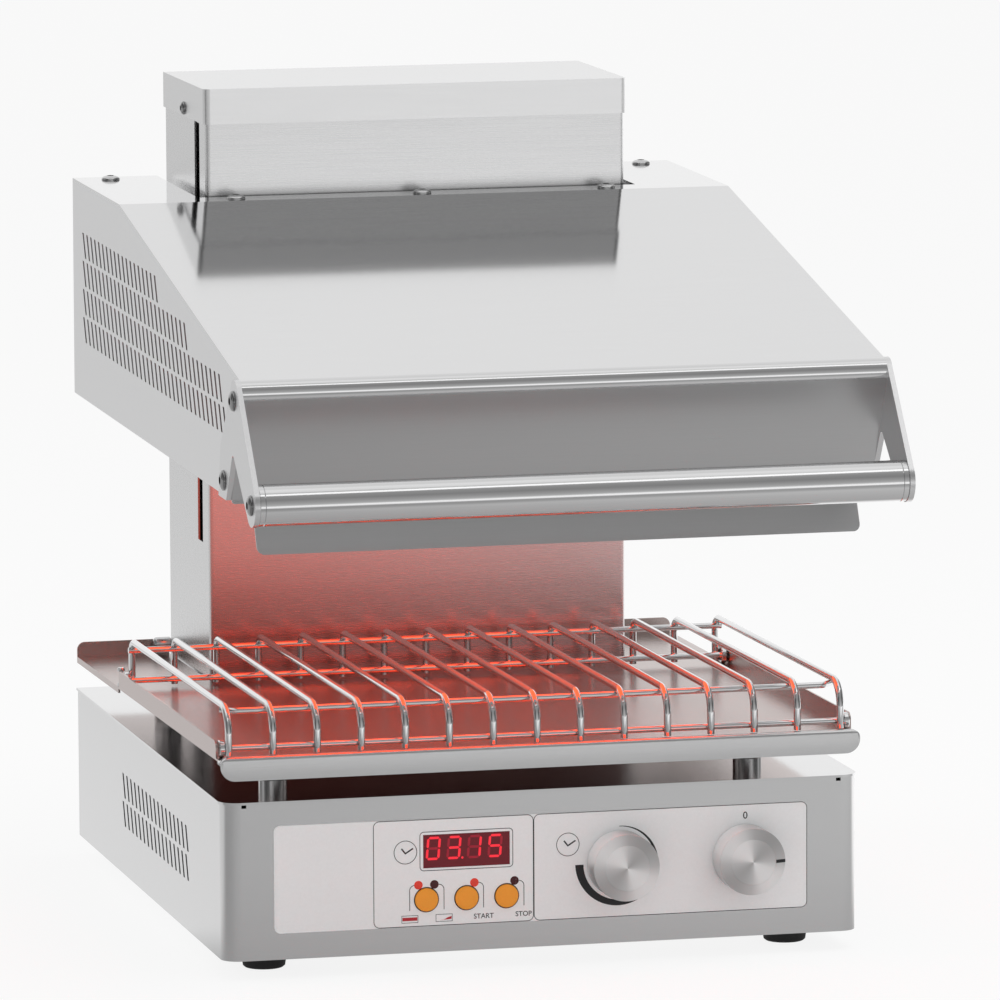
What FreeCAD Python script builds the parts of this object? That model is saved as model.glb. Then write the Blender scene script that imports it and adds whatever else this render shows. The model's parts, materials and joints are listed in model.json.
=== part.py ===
"""Lift salamander grill: a low base with a control panel, a drip tray and wire rack on posts over it,
a rear column, and a sloped heater hood that rides up and down the column on two guide rods.

Lengths are in millimetres. X runs across the front, Y runs back and Z up. Until the last step the front
panel is at Y = 0 and the feet stand on Z = 0. The last step puts the origin at the bottom centre."""
import FreeCAD
import Part
import math
import os

from FreeCAD import Vector

# Sheets, gaps and other sizes that many pieces share
sheet = 1.2
panel_sheet = 1.5
air = 0.2
running_gap = 0.05
overrun = 5
weld_depth = 0.4
touching = 0.0001
crown_share = 0.72

# Sides of the small repeated round pieces, kept few, and of the knobs
wire_sides = 6
nut_sides = 6
head_sides = 10
cap_sides = 16
knob_sides = 30
front_bend_chords = 3
rear_bend_chords = 2

# Base
base_width = 400
base_depth = 454
base_height = 97.6
base_front_radius = 11
foot_height = 12.4
foot_radius = 14.5
foot_taper = 1.5
foot_inset = 34.6
front_foot_y = 46
rear_foot_inset = 46
panel_return_depth = 74.3
panel_tab_width = 14
panel_tab_overlap = 12
panel_notch_inset = 13
panel_notch_width = 3
panel_notch_depth = 2
deck_overhang = 1
floor_lip_height = 12

# Slanted air slots
base_slot_width = 4.2
base_slot_height = 15.6
base_slot_lean = 6.5
base_slot_pitch = 12.2
base_slot_count = 17
base_slot_last_y = 306.7
base_slot_tops = [78, 59.7]
hood_slot_width = 4.4
hood_slot_height = 16
hood_slot_lean = 8
hood_slot_pitch = 12.7
hood_slot_last_y = 422
hood_slot_counts = [19, 26, 34, 35]
hood_slot_top_drop = 32
hood_slot_row_pitch = 18.3

# Control panel
label_left_margin = 31.3
label_right_margin = 33
label_top = 94.9
label_bottom = 28.6
label_thickness = 0.5
label_radius = 3.75
window_x = -48.6
window_z = 74.8
window_width = 54.4
window_height = 20.7
window_rim = 1.9
window_thickness = 1.5
button_xs = [-73.9, -48.7, -23.6]
button_z = 45.1
button_radius = 7.15
button_gap = 0.3
button_projection = 1.6
button_travel = 0.8
button_stem_radius = 2
button_slot_width = 74
button_slot_height = 20
led_radius = 2.7
led_projection = 0.4
led_z = 54.3
lit_led_xs = [-78.9, -43.8]
dark_led_xs = [-68.9, -18.6]
board_left = -98
board_right = -6
board_bottom = 32
board_top = 92
board_y = 14
board_thickness = 1.6
display_block_width = 50.3
display_block_height = 19
button_collar_half = 8.4
button_collar_thickness = 1
microswitch_width = 10
microswitch_height = 7

# Knobs
knob_z = 62
timer_inset = 119.4
power_inset = 39.8
knob_radius = 20.7
knob_projection = 20.5
knob_face_radius = 14
knob_cone_depth = 2
knob_gap = 0.8
shaft_radius = 3
shaft_depth = 9
shaft_hole_radius = 4.5
encoder_width = 16
encoder_depth = 12
rotary_width = 38
rotary_depth = 26

# Cord inlet
gland_inset = 60
gland_z = 50
gland_bore_radius = 4.2
gland_radius = 9
gland_nut_radius = 12
gland_nut_length = 5
gland_projection = 14
gland_inside = 12
terminal_width = 46
terminal_depth = 20
terminal_height = 18

# Column
column_inset = 62.4
column_depth = 124.4
column_rear_inset = 0.4
column_radius = 3
column_height = 402.3
cap_overhang = 1.3
cap_skirt = 22.6
side_slot_inset = 26.8
side_slot_width = 15
side_slot_bottom = 108.6
side_slot_top = 384
cap_screw_inset = 63.6
cap_screw_drop = 17.5
cap_screw_radius = 4.3
cap_screw_height = 2.2
stud_inset = 6.6
stud_height = 28
stud_radius = 4.3
stud_length = 13.4
stud_crown = 1.6

# Guide rods, carriage and counterweight
rod_inset = 15.6
rod_radius = 5
rod_plate_thickness = 10
rod_plate_depth = 36
rod_top = 378
carriage_bottom = 206
carriage_height = 110
block_width = 24
block_depth = 26
arm_thickness = 10
crossbar_height = 26
crossbar_thickness = 10
pulley_x = 60
pulley_z = 352
pulley_pitch_radius = 18
pulley_groove_depth = 2.4
pulley_width = 10
pulley_axle_radius = 4
pulley_axle_overhang = 10
cheek_thickness = 3
cheek_depth = 22
cheek_foot = 10
cable_radius = 1
weight_inset = 27.6
weight_height = 130
weight_thickness = 30
weight_bottom = 100

# Drip tray and its posts
tray_overhang = 0.3
tray_floor_height = 20.6
tray_front_y = 10
tray_lift_angle = 0.6
tray_column_gap = 1.4
tray_upstand = 9.6
tray_upstand_radius = 5
tray_flange_height = 10.4
tray_flange_front_y = 18
tray_flange_column_gap = 13.2
tray_lip_depth = 4
post_radius = 8.85
post_inset = 49.1
front_post_y = 82
rear_post_inset = 54
pin_offset = 4
pin_radius = 2.5
pin_head_height = 2.4
pin_length = 12

# Wire rack
rack_wire = 4.5
rack_cross_wire = 4
rack_inset = 7.6
rack_hoop_count = 15
rack_front_y = 15.5
rack_column_gap = 19.2
rack_top_height = 30.2
rack_leg_gap = 1.6
rack_front_bend = 16
rack_rear_bend = 9
rack_upper_front_y = 31
rack_curl = 7
rack_curl_radius = 5
rack_upper_rear_drop = 5.4
rack_wire_end = 3
rack_disc_radius = 5.4
rack_disc_thickness = 3.5

# Hood
hood_inset = 0.5
hood_bottom = 193.5
hood_height = 140.4
hood_rear_overhang = 1.5
hood_bend_offset = 26.4
hood_fold_y = -32.5
hood_droop_angle = 0.55
hood_pivot_offset = 23.3
hood_pivot_height = 262
bead_y = -56
bead_height = 261.3
bead_radius = 8
notch_gap = 6.2
notch_front_gap = 3.2
tongue_inset = 12.1
tongue_lean = 27.5
tongue_drop = 31.2
tongue_radius = 4.5
shoulder_drop = 2.1
shoulder_radius = 1.5
hood_screw_radius = 6
hood_screw_height = 2.6
hood_outer_screw_inset = 22
hood_outer_screw_setback = 15.5
hood_inner_screw_inset = 16.1
hood_inner_screw_offset = 12

# Heater in the hood
heater_inset = 39.5
heater_front_y = 10
heater_rear_offset = 36
heater_glass_thickness = 4
heater_glass_border = 12
insulation_height = 36
insulation_wall = 14
element_height = 5
element_strip = 6
element_runs = 9
element_margin = 14

# Handle and its brackets
handle_y = -101
handle_height = 200.4
handle_radius = 12.5
handle_wall = 2
bracket_thickness = 3.2
bracket_top_y = -55
bracket_top_height = 260
bracket_top_radius = 9.5
bracket_end_radius = 13
bracket_notch_y = -51.5
bracket_notch_rise = 25.5
bracket_notch_radius = 4
bracket_leg_inner_y = -31
bracket_leg_outer_y = -9
bracket_heel_y = -15
bracket_heel_rise = 30.1
bracket_bolt_radius = 6.25
bracket_bolt_height = 2.4
bracket_top_bolt_setback = 2
bracket_top_bolt_drop = 3.6
bracket_low_bolt_y = -24
bracket_low_bolt_rise = 11.1

# Levels and planes worked out from the sizes above
deck_top = foot_height + base_height
base_half = base_width / 2
rear_wall_y = base_depth
foot_x = base_half - foot_inset
rear_foot_y = base_depth - rear_foot_inset
panel_notch_x = base_half - panel_notch_inset
label_left = label_left_margin - base_half
label_right = base_half - label_right_margin
timer_x = label_right - timer_inset
power_x = label_right - power_inset
gland_x = gland_inset - base_half
column_half = base_half - column_inset
column_width = column_half * 2
column_top = deck_top + column_height
column_rear_y = base_depth - column_rear_inset
column_front_y = column_rear_y - column_depth
side_slot_y = column_front_y + side_slot_inset
cap_screw_y = column_rear_y - cap_screw_inset
stud_y = column_rear_y - stud_inset
rod_x = column_half - rod_inset
weight_width = (column_half - weight_inset) * 2
tray_top = deck_top + tray_floor_height
tray_half = base_half + tray_overhang
tray_rear_y = base_depth
tray_flange_rear_y = column_front_y - tray_flange_column_gap
post_x = tray_half - post_inset
rear_post_y = base_depth - rear_post_inset
pin_y = tray_flange_rear_y + pin_offset
rack_half_width = tray_half - rack_inset
rack_rear_y = column_front_y - rack_column_gap
hood_half = base_half - hood_inset
hood_width = hood_half * 2
hood_low = deck_top + hood_bottom
hood_top = hood_low + hood_height
hood_rear_y = base_depth + hood_rear_overhang
hood_bend_y = column_front_y - hood_bend_offset
hood_pivot_y = column_front_y + hood_pivot_offset
notch_half = column_half + notch_gap
notch_front_y = column_front_y - notch_front_gap
tongue_half = hood_half - tongue_inset
hood_outer_screw_x = hood_half - hood_outer_screw_inset
hood_outer_screw_y = hood_rear_y - hood_outer_screw_setback
hood_inner_screw_x = column_half - hood_inner_screw_inset
hood_inner_screw_y = notch_front_y - hood_inner_screw_offset
heater_half_width = hood_half - heater_inset
heater_rear_y = notch_front_y - heater_rear_offset
bracket_notch_height = hood_bottom + bracket_notch_rise
bracket_heel_height = hood_bottom + bracket_heel_rise
bracket_top_bolt_y = bracket_top_y + bracket_top_bolt_setback
bracket_top_bolt_height = bracket_top_height - bracket_top_bolt_drop
bracket_low_bolt_height = hood_bottom + bracket_low_bolt_rise


def box(x0, x1, y0, y1, z0, z1):
    """A block between six planes."""
    return Part.makeBox(x1 - x0, y1 - y0, z1 - z0, Vector(x0, y0, z0))


def round_bar(start, direction, radius, length):
    """A cylinder from a point along a direction."""
    return Part.makeCylinder(radius, length, start, direction)


def closed_wire(corners, radii):
    """A closed wire through the corners, each rounded to its own radius."""
    stations = []
    for i, (corner, radius) in enumerate(zip(corners, radii)):
        if radius == 0:
            stations.append((corner, None, corner))
            continue
        back = (corners[i - 1] - corner).normalize()
        ahead = (corners[(i + 1) % len(corners)] - corner).normalize()
        half_angle = math.acos(back.dot(ahead)) / 2
        reach = radius / math.tan(half_angle)
        bisector = (back + ahead).normalize()
        middle = corner + bisector * (radius / math.sin(half_angle) - radius)
        stations.append((corner + back * reach, middle, corner + ahead * reach))
    edges = []
    for i, (start, middle, end) in enumerate(stations):
        if middle is not None:
            edges.append(Part.Arc(start, middle, end).toShape())
        following = stations[(i + 1) % len(stations)][0]
        if end.distanceToPoint(following) > touching:
            edges.append(Part.makeLine(end, following))
    return Part.Wire(edges)


def prism(corners, direction, radii=None):
    """A flat outline with optional corner radii, pushed along a direction."""
    radii = radii or [0] * len(corners)
    return Part.Face(closed_wire(corners, radii)).extrude(direction)


def slab(x0, x1, y0, y1, z0, z1, radii):
    """A block whose upright edges are rounded: front left, front right, rear right, rear left."""
    corners = [Vector(x0, y0, z0), Vector(x1, y0, z0), Vector(x1, y1, z0), Vector(x0, y1, z0)]
    return prism(corners, Vector(0, 0, z1 - z0), radii)


def wrap(half_width, closed_y, open_y, thickness, radius, z0, z1):
    """A sheet bent to a U in plan, with its wall at closed_y and its legs running to open_y."""
    inward = math.copysign(thickness, open_y - closed_y)
    inner_half = half_width - thickness
    corners = [
        Vector(-half_width, open_y, z0),
        Vector(-half_width, closed_y, z0),
        Vector(half_width, closed_y, z0),
        Vector(half_width, open_y, z0),
        Vector(inner_half, open_y, z0),
        Vector(inner_half, closed_y + inward, z0),
        Vector(-inner_half, closed_y + inward, z0),
        Vector(-inner_half, open_y, z0),
    ]
    inner_radius = radius - thickness
    radii = [0, radius, radius, 0, 0, inner_radius, inner_radius, 0]
    return prism(corners, Vector(0, 0, z1 - z0), radii)


def mirrored(shape):
    """The same shape on the other side of the middle plane."""
    return shape.mirror(Vector(0, 0, 0), Vector(1, 0, 0))


def group(shapes):
    """Separate solids kept under one name."""
    return Part.makeCompound(shapes)


def pair(shape):
    """A shape and its mirror image, as two separate solids."""
    return group([shape, mirrored(shape)])


def joined(shapes):
    """Overlapping or touching shapes made into one solid."""
    whole = shapes[0].fuse(shapes[1:]).removeSplitter()
    return whole.Solids[0] if len(whole.Solids) == 1 else whole


def slot_row(x, last_y, top, count, pitch, width, height, lean):
    """Wires of a row of slanted slots in the plane of a side wall, listed from the rear forward."""
    rows = []
    for i in range(count):
        y = last_y - i * pitch
        corners = [
            Vector(x, y - width / 2, top),
            Vector(x, y + width / 2, top),
            Vector(x, y + width / 2 - lean, top - height),
            Vector(x, y - width / 2 - lean, top - height),
        ]
        rows.append(closed_wire(corners, [0] * len(corners)))
    return rows


def holed_plate(outer, holes, direction):
    """A plate from an outer wire with holes cut through it."""
    face = Part.Face(outer)
    inner = [Part.Face(hole) for hole in holes]
    return face.cut(group(inner)).extrude(direction)


def polygon(centre, first, second, corner_radius, sides):
    """A regular closed wire about a centre, in the plane of two directions square to each other."""
    points = []
    for i in range(sides):
        angle = (i * 2 + 1) * math.pi / sides
        points.append(centre + first * (corner_radius * math.cos(angle))
                      + second * (corner_radius * math.sin(angle)))
    return Part.makePolygon(points + points[:1])


def corner_radius(flat_radius, sides):
    """The radius over the corners of a many-sided piece that is measured to its flats."""
    return flat_radius / math.cos(math.pi / sides)


def many_sided(start, direction, radius, length, sides, end_radius=None):
    """A straight or tapered piece with many flats, measured over its corners."""
    first = right if direction.x == 0 else rear
    second = direction.cross(first)
    low = polygon(start, first, second, radius, sides)
    if end_radius is None:
        return Part.Face(low).extrude(direction * length)
    high = polygon(start + direction * length, first, second, end_radius, sides)
    return flat_skin([low.OrderedVertexes, high.OrderedVertexes])


def flat_skin(sections):
    """A solid of flat faces through sections that have the same number of corners."""
    rings = [[Vector(v.X, v.Y, v.Z) for v in ring] for ring in sections]
    faces = [Part.Face(Part.makePolygon(ring + ring[:1])) for ring in (rings[0], rings[-1])]
    for near, far in zip(rings, rings[1:]):
        for i in range(len(near)):
            j = (i + 1) % len(near)
            faces.append(Part.Face(Part.makePolygon([near[i], near[j], far[j], far[i], near[i]])))
    solid = Part.makeSolid(Part.makeShell(faces))
    if solid.Volume < 0:
        solid.reverse()
    return solid


def bent_path(corners, bends):
    """Points along a path whose inner corners are rounded by chords: bends holds (radius, chords)."""
    points = [corners[0]]
    for i, (radius, chords) in enumerate(bends, start=1):
        corner = corners[i]
        back = (corners[i - 1] - corner).normalize()
        ahead = (corners[i + 1] - corner).normalize()
        half_angle = math.acos(back.dot(ahead)) / 2
        centre = corner + (back + ahead).normalize() * (radius / math.sin(half_angle))
        spoke = corner + back * (radius / math.tan(half_angle)) - centre
        other = corner + ahead * (radius / math.tan(half_angle)) - centre
        turn = math.pi - half_angle * 2
        for step in range(chords + 1):
            angle = turn * step / chords
            weight = math.sin(turn - angle) / math.sin(turn)
            points.append(centre + spoke * weight + other * (math.sin(angle) / math.sin(turn)))
    points.append(corners[-1])
    return points


def wire(points, side_axis, across):
    """A flat-sided wire along a path that lies in the plane square to side_axis."""
    headings = [(b - a).normalize() for a, b in zip(points, points[1:])]
    before = [headings[0]] + headings
    after = headings + [headings[-1]]
    rings = []
    for point, arriving, leaving in zip(points, before, after):
        middle = (arriving + leaving).normalize()
        stretch = 1 / middle.dot(leaving)
        ring = polygon(point, side_axis, side_axis.cross(middle) * stretch,
                       corner_radius(across / 2, wire_sides), wire_sides)
        rings.append(ring.OrderedVertexes)
    return flat_skin(rings)


def screw_head(seat, direction, radius, height):
    """A low tapered head standing on a seat."""
    return many_sided(seat, direction, radius, height, head_sides, radius * crown_share)


def tangent(first, first_radius, second, second_radius, side):
    """The points where one straight edge touches two circles in the plane of a bracket."""
    across = second - first
    heading = math.atan2(across.z, across.y)
    angle = heading + side * math.acos((first_radius - second_radius) / across.Length)
    normal = Vector(0, math.cos(angle), math.sin(angle))
    return first + normal * first_radius, second + normal * second_radius


rear = Vector(0, 1, 0)
front = Vector(0, -1, 0)
up = Vector(0, 0, 1)
left = Vector(-1, 0, 0)
right = Vector(1, 0, 0)


# Base housing
def make_front_panel():
    low = foot_height
    high = deck_top - panel_sheet
    body = wrap(base_half, 0, panel_return_depth, panel_sheet, base_front_radius, low, high)
    cuts = []
    for x in (timer_x, power_x):
        cuts.append(many_sided(Vector(x, -overrun, knob_z), rear, shaft_hole_radius, overrun * 3, head_sides))
    rim_width = window_width / 2 + window_rim
    rim_height = window_height / 2 + window_rim
    cuts.append(box(window_x - rim_width, window_x + rim_width, -overrun, overrun,
                    window_z - rim_height, window_z + rim_height))
    middle = button_xs[1]
    cuts.append(box(middle - button_slot_width / 2, middle + button_slot_width / 2, -overrun, overrun,
                    button_z - button_slot_height / 2, button_z + button_slot_height / 2))
    for side in (-1, 1):
        x = side * panel_notch_x
        cuts.append(box(x - panel_notch_width / 2, x + panel_notch_width / 2, -overrun, panel_sheet + overrun,
                        high - panel_notch_depth, high + overrun))
    return body.cut(group(cuts))


def make_base_housing():
    low = foot_height
    high = deck_top - panel_sheet
    inner_half = base_half - panel_sheet
    corner_y = rear_wall_y - panel_sheet
    rear_part = box(-inner_half, inner_half, corner_y, rear_wall_y, low, high)
    gland_start = Vector(gland_x, rear_wall_y - overrun, gland_z)
    shapes = [rear_part.cut(round_bar(gland_start, rear, gland_radius + air, overrun * 2))]
    for side in (-1, 1):
        x = side * base_half
        wall = [
            Vector(x, panel_return_depth, low),
            Vector(x, rear_wall_y, low),
            Vector(x, rear_wall_y, high),
            Vector(x, panel_return_depth, high),
        ]
        slots = []
        for top in base_slot_tops:
            slots += slot_row(x, base_slot_last_y, top, base_slot_count, base_slot_pitch,
                              base_slot_width, base_slot_height, base_slot_lean)
        inward = Vector(-side * panel_sheet, 0, 0)
        shapes.append(holed_plate(closed_wire(wall, [0] * len(wall)), slots, inward))
        inner_x = x - side * panel_sheet
        tab = sorted([inner_x, inner_x - side * panel_sheet])
        shapes.append(box(tab[0], tab[1], panel_return_depth - panel_tab_width,
                          panel_return_depth + panel_tab_overlap, low, high - floor_lip_height))
    return joined(shapes)


def make_deck():
    half = base_half + deck_overhang
    radius = base_front_radius + deck_overhang
    return slab(-half, half, 0, rear_wall_y, deck_top - panel_sheet, deck_top, [radius, radius, 0, 0])


def make_floor():
    half = base_half - panel_sheet * 2 - air
    low = foot_height
    front_y = panel_sheet + air
    rear_y = rear_wall_y - panel_sheet - air
    clip = base_front_radius
    low_face = [
        Vector(-half + clip, front_y, low),
        Vector(half - clip, front_y, low),
        Vector(half, front_y + clip, low),
        Vector(half, rear_y, low),
        Vector(-half, rear_y, low),
        Vector(-half, front_y + clip, low),
    ]
    outer = prism(low_face, up * floor_lip_height)
    inner = prism([corner + up * sheet for corner in low_face], up * floor_lip_height)
    inner = inner.common(box(-half + sheet, half - sheet, front_y + sheet, rear_y - sheet,
                             low, low + floor_lip_height + overrun))
    return outer.cut(inner)


def make_feet():
    feet = []
    for x in (-foot_x, foot_x):
        for y in (front_foot_y, rear_foot_y):
            feet.append(many_sided(Vector(x, y, 0), up, foot_radius - foot_taper, foot_height,
                                   cap_sides, foot_radius))
    return group(feet)


# Control panel pieces
def make_label():
    y = -label_thickness
    corners = [
        Vector(label_left, y, label_bottom),
        Vector(label_right, y, label_bottom),
        Vector(label_right, y, label_top),
        Vector(label_left, y, label_top),
    ]
    window = [
        Vector(window_x - window_width / 2, y, window_z - window_height / 2),
        Vector(window_x + window_width / 2, y, window_z - window_height / 2),
        Vector(window_x + window_width / 2, y, window_z + window_height / 2),
        Vector(window_x - window_width / 2, y, window_z + window_height / 2),
    ]
    holes = [closed_wire(window, [0] * len(window))]
    for x in button_xs:
        holes.append(polygon(Vector(x, y, button_z), right, up, button_radius + button_gap, cap_sides))
    for x in (timer_x, power_x):
        holes.append(polygon(Vector(x, y, knob_z), right, up, shaft_hole_radius, head_sides))
    return holed_plate(closed_wire(corners, [label_radius] * len(corners)), holes, rear * label_thickness)


def make_window():
    half_width = window_width / 2 + window_rim - air
    half_height = window_height / 2 + window_rim - air
    return box(window_x - half_width, window_x + half_width, 0, window_thickness,
               window_z - half_height, window_z + half_height)


def make_display_module():
    half_width = display_block_width / 2
    half_height = display_block_height / 2
    return box(window_x - half_width, window_x + half_width, window_thickness, board_y,
               window_z - half_height, window_z + half_height)


def make_leds(places):
    seats = [Vector(x, -label_thickness, led_z) for x in places]
    return group([many_sided(seat, front, led_radius, led_projection, head_sides) for seat in seats])


def make_button(x):
    """A round cap held in by a square collar, with a stem that reaches back to its switch."""
    face_y = -label_thickness - button_projection
    collar_y = air
    stem_y = collar_y + button_collar_thickness
    stem_end_y = board_y - microswitch_height - button_travel - air
    cap = many_sided(Vector(x, face_y, button_z), rear, button_radius, collar_y - face_y, cap_sides)
    collar = box(x - button_collar_half, x + button_collar_half, collar_y, stem_y,
                 button_z - button_collar_half, button_z + button_collar_half)
    stem = box(x - button_stem_radius, x + button_stem_radius, stem_y, stem_end_y,
               button_z - button_stem_radius, button_z + button_stem_radius)
    return joined([cap, collar, stem])


def make_microswitches():
    half = microswitch_width / 2
    front_y = board_y - microswitch_height
    low = button_z - half
    return group([box(x - half, x + half, front_y, board_y, low, low + microswitch_width) for x in button_xs])


def make_board():
    return box(board_left, board_right, board_y, board_y + board_thickness, board_bottom, board_top)


def make_knob(x):
    back_y = -label_thickness - knob_gap
    depth = knob_projection - knob_gap
    rings = []
    for y, radius in (
        (back_y, knob_radius),
        (back_y - depth + knob_cone_depth, knob_radius),
        (back_y - depth, knob_face_radius),
    ):
        rings.append(polygon(Vector(x, y, knob_z), right, up, radius, knob_sides).OrderedVertexes)
    return flat_skin(rings)


def make_shaft(x):
    start_y = -label_thickness - knob_gap
    length = shaft_depth + panel_sheet - start_y
    return many_sided(Vector(x, start_y, knob_z), rear, shaft_radius, length, head_sides)


def make_switch_body(x, width, depth):
    """A switch screwed to the back of the panel, with a bore that its shaft turns in."""
    half = width / 2
    body = box(x - half, x + half, panel_sheet, panel_sheet + depth, knob_z - half, knob_z + half)
    bore = many_sided(Vector(x, 0, knob_z), rear, corner_radius(shaft_radius + running_gap, head_sides),
                      panel_sheet + shaft_depth + air, head_sides)
    return body.cut(bore)


def make_gland():
    inner_y = rear_wall_y - panel_sheet
    barrel = many_sided(Vector(gland_x, inner_y - gland_inside, gland_z), rear, gland_radius,
                        gland_inside + panel_sheet + gland_projection, head_sides)
    nuts = []
    for y in (rear_wall_y, inner_y - gland_nut_length):
        seat = Vector(gland_x, y, gland_z)
        nuts.append(many_sided(seat, rear, gland_nut_radius, gland_nut_length, nut_sides))
    bore = round_bar(Vector(gland_x, inner_y - gland_inside - overrun, gland_z), rear, gland_bore_radius,
                     gland_inside + gland_projection + overrun * 3)
    return joined([barrel] + nuts).cut(bore)


def make_terminal_block():
    low = foot_height + sheet
    rear_y = rear_wall_y - panel_sheet - gland_inside - terminal_depth
    block = box(gland_x - terminal_width / 2, gland_x + terminal_width / 2, rear_y - terminal_depth, rear_y,
                low, low + terminal_height)
    step = terminal_height / 3
    ledge = box(gland_x - terminal_width / 2, gland_x + terminal_width / 2, rear_y - terminal_depth,
                rear_y - terminal_depth + step, low + terminal_height - step, low + terminal_height + overrun)
    return block.cut(ledge)


# Column
def make_column_shell():
    low = deck_top
    high = column_top - sheet
    body = wrap(column_half, column_front_y, column_rear_y, sheet, column_radius, low, high)
    slot = box(-column_half - overrun, column_half + overrun, side_slot_y - side_slot_width / 2,
               side_slot_y + side_slot_width / 2, deck_top + side_slot_bottom, deck_top + side_slot_top)
    return body.cut(slot)


def make_column_back():
    half = column_half - sheet - air
    return box(-half, half, column_rear_y - sheet, column_rear_y, deck_top, column_top - sheet)


def make_column_cap():
    half = column_half + cap_overhang
    front_y = column_front_y - cap_overhang
    rear_y = column_rear_y + cap_overhang
    low = column_top - cap_skirt
    radius = column_radius + cap_overhang
    outer = slab(-half, half, front_y, rear_y, low, column_top, [radius, radius, 0, 0])
    inner_half = half - sheet
    inner = slab(-inner_half, inner_half, front_y + sheet, rear_y - sheet, low - overrun, column_top - sheet,
                 [0, 0, 0, 0])
    return outer.cut(inner)


def make_cap_screws():
    seat = Vector(column_half + cap_overhang, cap_screw_y, column_top - cap_screw_drop)
    return pair(screw_head(seat, right, cap_screw_radius, cap_screw_height))


def make_column_studs():
    rings = []
    for x, radius in (
        (column_half, stud_radius),
        (column_half + stud_length - stud_crown, stud_radius),
        (column_half + stud_length, stud_radius * crown_share),
    ):
        centre = Vector(x, stud_y, deck_top + stud_height)
        rings.append(polygon(centre, rear, up, radius, head_sides).OrderedVertexes)
    return pair(flat_skin(rings))


def make_guide_rods():
    low = deck_top + rod_plate_thickness
    length = deck_top + rod_top - low
    return pair(many_sided(Vector(rod_x, side_slot_y, low), up, rod_radius, length, cap_sides))


def make_rod_foot_plate():
    half = column_half - sheet - air
    return box(-half, half, side_slot_y - rod_plate_depth / 2, side_slot_y + rod_plate_depth / 2,
               deck_top, deck_top + rod_plate_thickness)


axle_y = side_slot_y + pulley_pitch_radius + cable_radius
axle_z = deck_top + pulley_z
rear_cable_y = axle_y + pulley_pitch_radius + cable_radius
cheek_x = pulley_x + pulley_width


def make_head_plate():
    """The plate across the column's top that holds the rods and, in two cheeks, the pulley axle."""
    half = column_half - sheet - air
    low = deck_top + rod_top
    plate = box(-half, half, side_slot_y - rod_plate_depth / 2, axle_y + cheek_depth,
                low, low + rod_plate_thickness)
    shapes = [plate]
    for side in (-1, 1):
        cheek = sorted([side * cheek_x, side * (cheek_x + cheek_thickness)])
        shapes.append(box(cheek[0], cheek[1], axle_y - cheek_depth / 2, axle_y + cheek_depth / 2,
                          axle_z - cheek_foot, low))
    body = joined(shapes)
    bore = many_sided(Vector(-column_half, axle_y, axle_z), right,
                      corner_radius(pulley_axle_radius + running_gap, head_sides), column_width, head_sides)
    return body.cut(bore)


def make_pulleys():
    """Two grooved wheels fixed on one axle."""
    length = (cheek_x + cheek_thickness + pulley_axle_overhang) * 2
    axle = many_sided(Vector(-length / 2, axle_y, axle_z), right, pulley_axle_radius, length, head_sides)
    shapes = [axle]
    groove_radius = pulley_pitch_radius - air
    rim_radius = groove_radius + pulley_groove_depth
    half = pulley_width / 2
    for x in (-pulley_x, pulley_x):
        rings = []
        for offset, radius in ((-half, rim_radius), (0, groove_radius), (half, rim_radius)):
            centre = Vector(x + offset, axle_y, axle_z)
            rings.append(polygon(centre, rear, up, radius, head_sides).OrderedVertexes)
        shapes.append(flat_skin(rings))
    return joined(shapes)


def make_counterweight():
    low = deck_top + weight_bottom
    return box(-weight_width / 2, weight_width / 2, rear_cable_y - weight_thickness / 2,
               rear_cable_y + weight_thickness / 2, low, low + weight_height)


def make_cables(y, low):
    """The two upright runs of cable on one side of the pulleys."""
    return pair(many_sided(Vector(pulley_x, y, low), up, cable_radius, axle_z - low, wire_sides))


def make_carriage():
    """Two blocks on the guide rods, a bar between them and an arm out of each side slot."""
    low = deck_top + carriage_bottom
    high = low + carriage_height
    shapes = []
    for side in (-1, 1):
        block = sorted([side * (rod_x - block_width / 2), side * (rod_x + block_width / 2)])
        shapes.append(box(block[0], block[1], side_slot_y - block_depth / 2,
                          side_slot_y + block_depth / 2, low, high))
        arm = sorted([side * (rod_x + rod_radius * 2), side * notch_half])
        shapes.append(box(arm[0], arm[1], side_slot_y - arm_thickness / 2,
                          side_slot_y + arm_thickness / 2, low, high))
    middle = (low + high) / 2
    shapes.append(box(-rod_x, rod_x, side_slot_y - crossbar_thickness / 2,
                      side_slot_y + crossbar_thickness / 2,
                      middle - crossbar_height / 2, middle + crossbar_height / 2))
    body = joined(shapes)
    bore_radius = corner_radius(rod_radius + running_gap, head_sides)
    bores = [many_sided(Vector(x, side_slot_y, low - overrun), up, bore_radius,
                        carriage_height + overrun * 2, head_sides) for x in (-rod_x, rod_x)]
    return body.cut(group(bores))


crossbar_top = deck_top + carriage_bottom + (carriage_height + crossbar_height) / 2


# Drip tray and wire rack, built level and then lifted at the front
def tray_tilt(shape):
    """The tray's own tilt, about its rear edge."""
    pivot = Vector(0, tray_rear_y, tray_top)
    return shape.rotate(pivot, right, -tray_lift_angle)


def tray_rise(y):
    """How much the tilt lifts the tray at a distance from its rear edge."""
    return (tray_rear_y - y) * math.tan(math.radians(tray_lift_angle))


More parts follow.
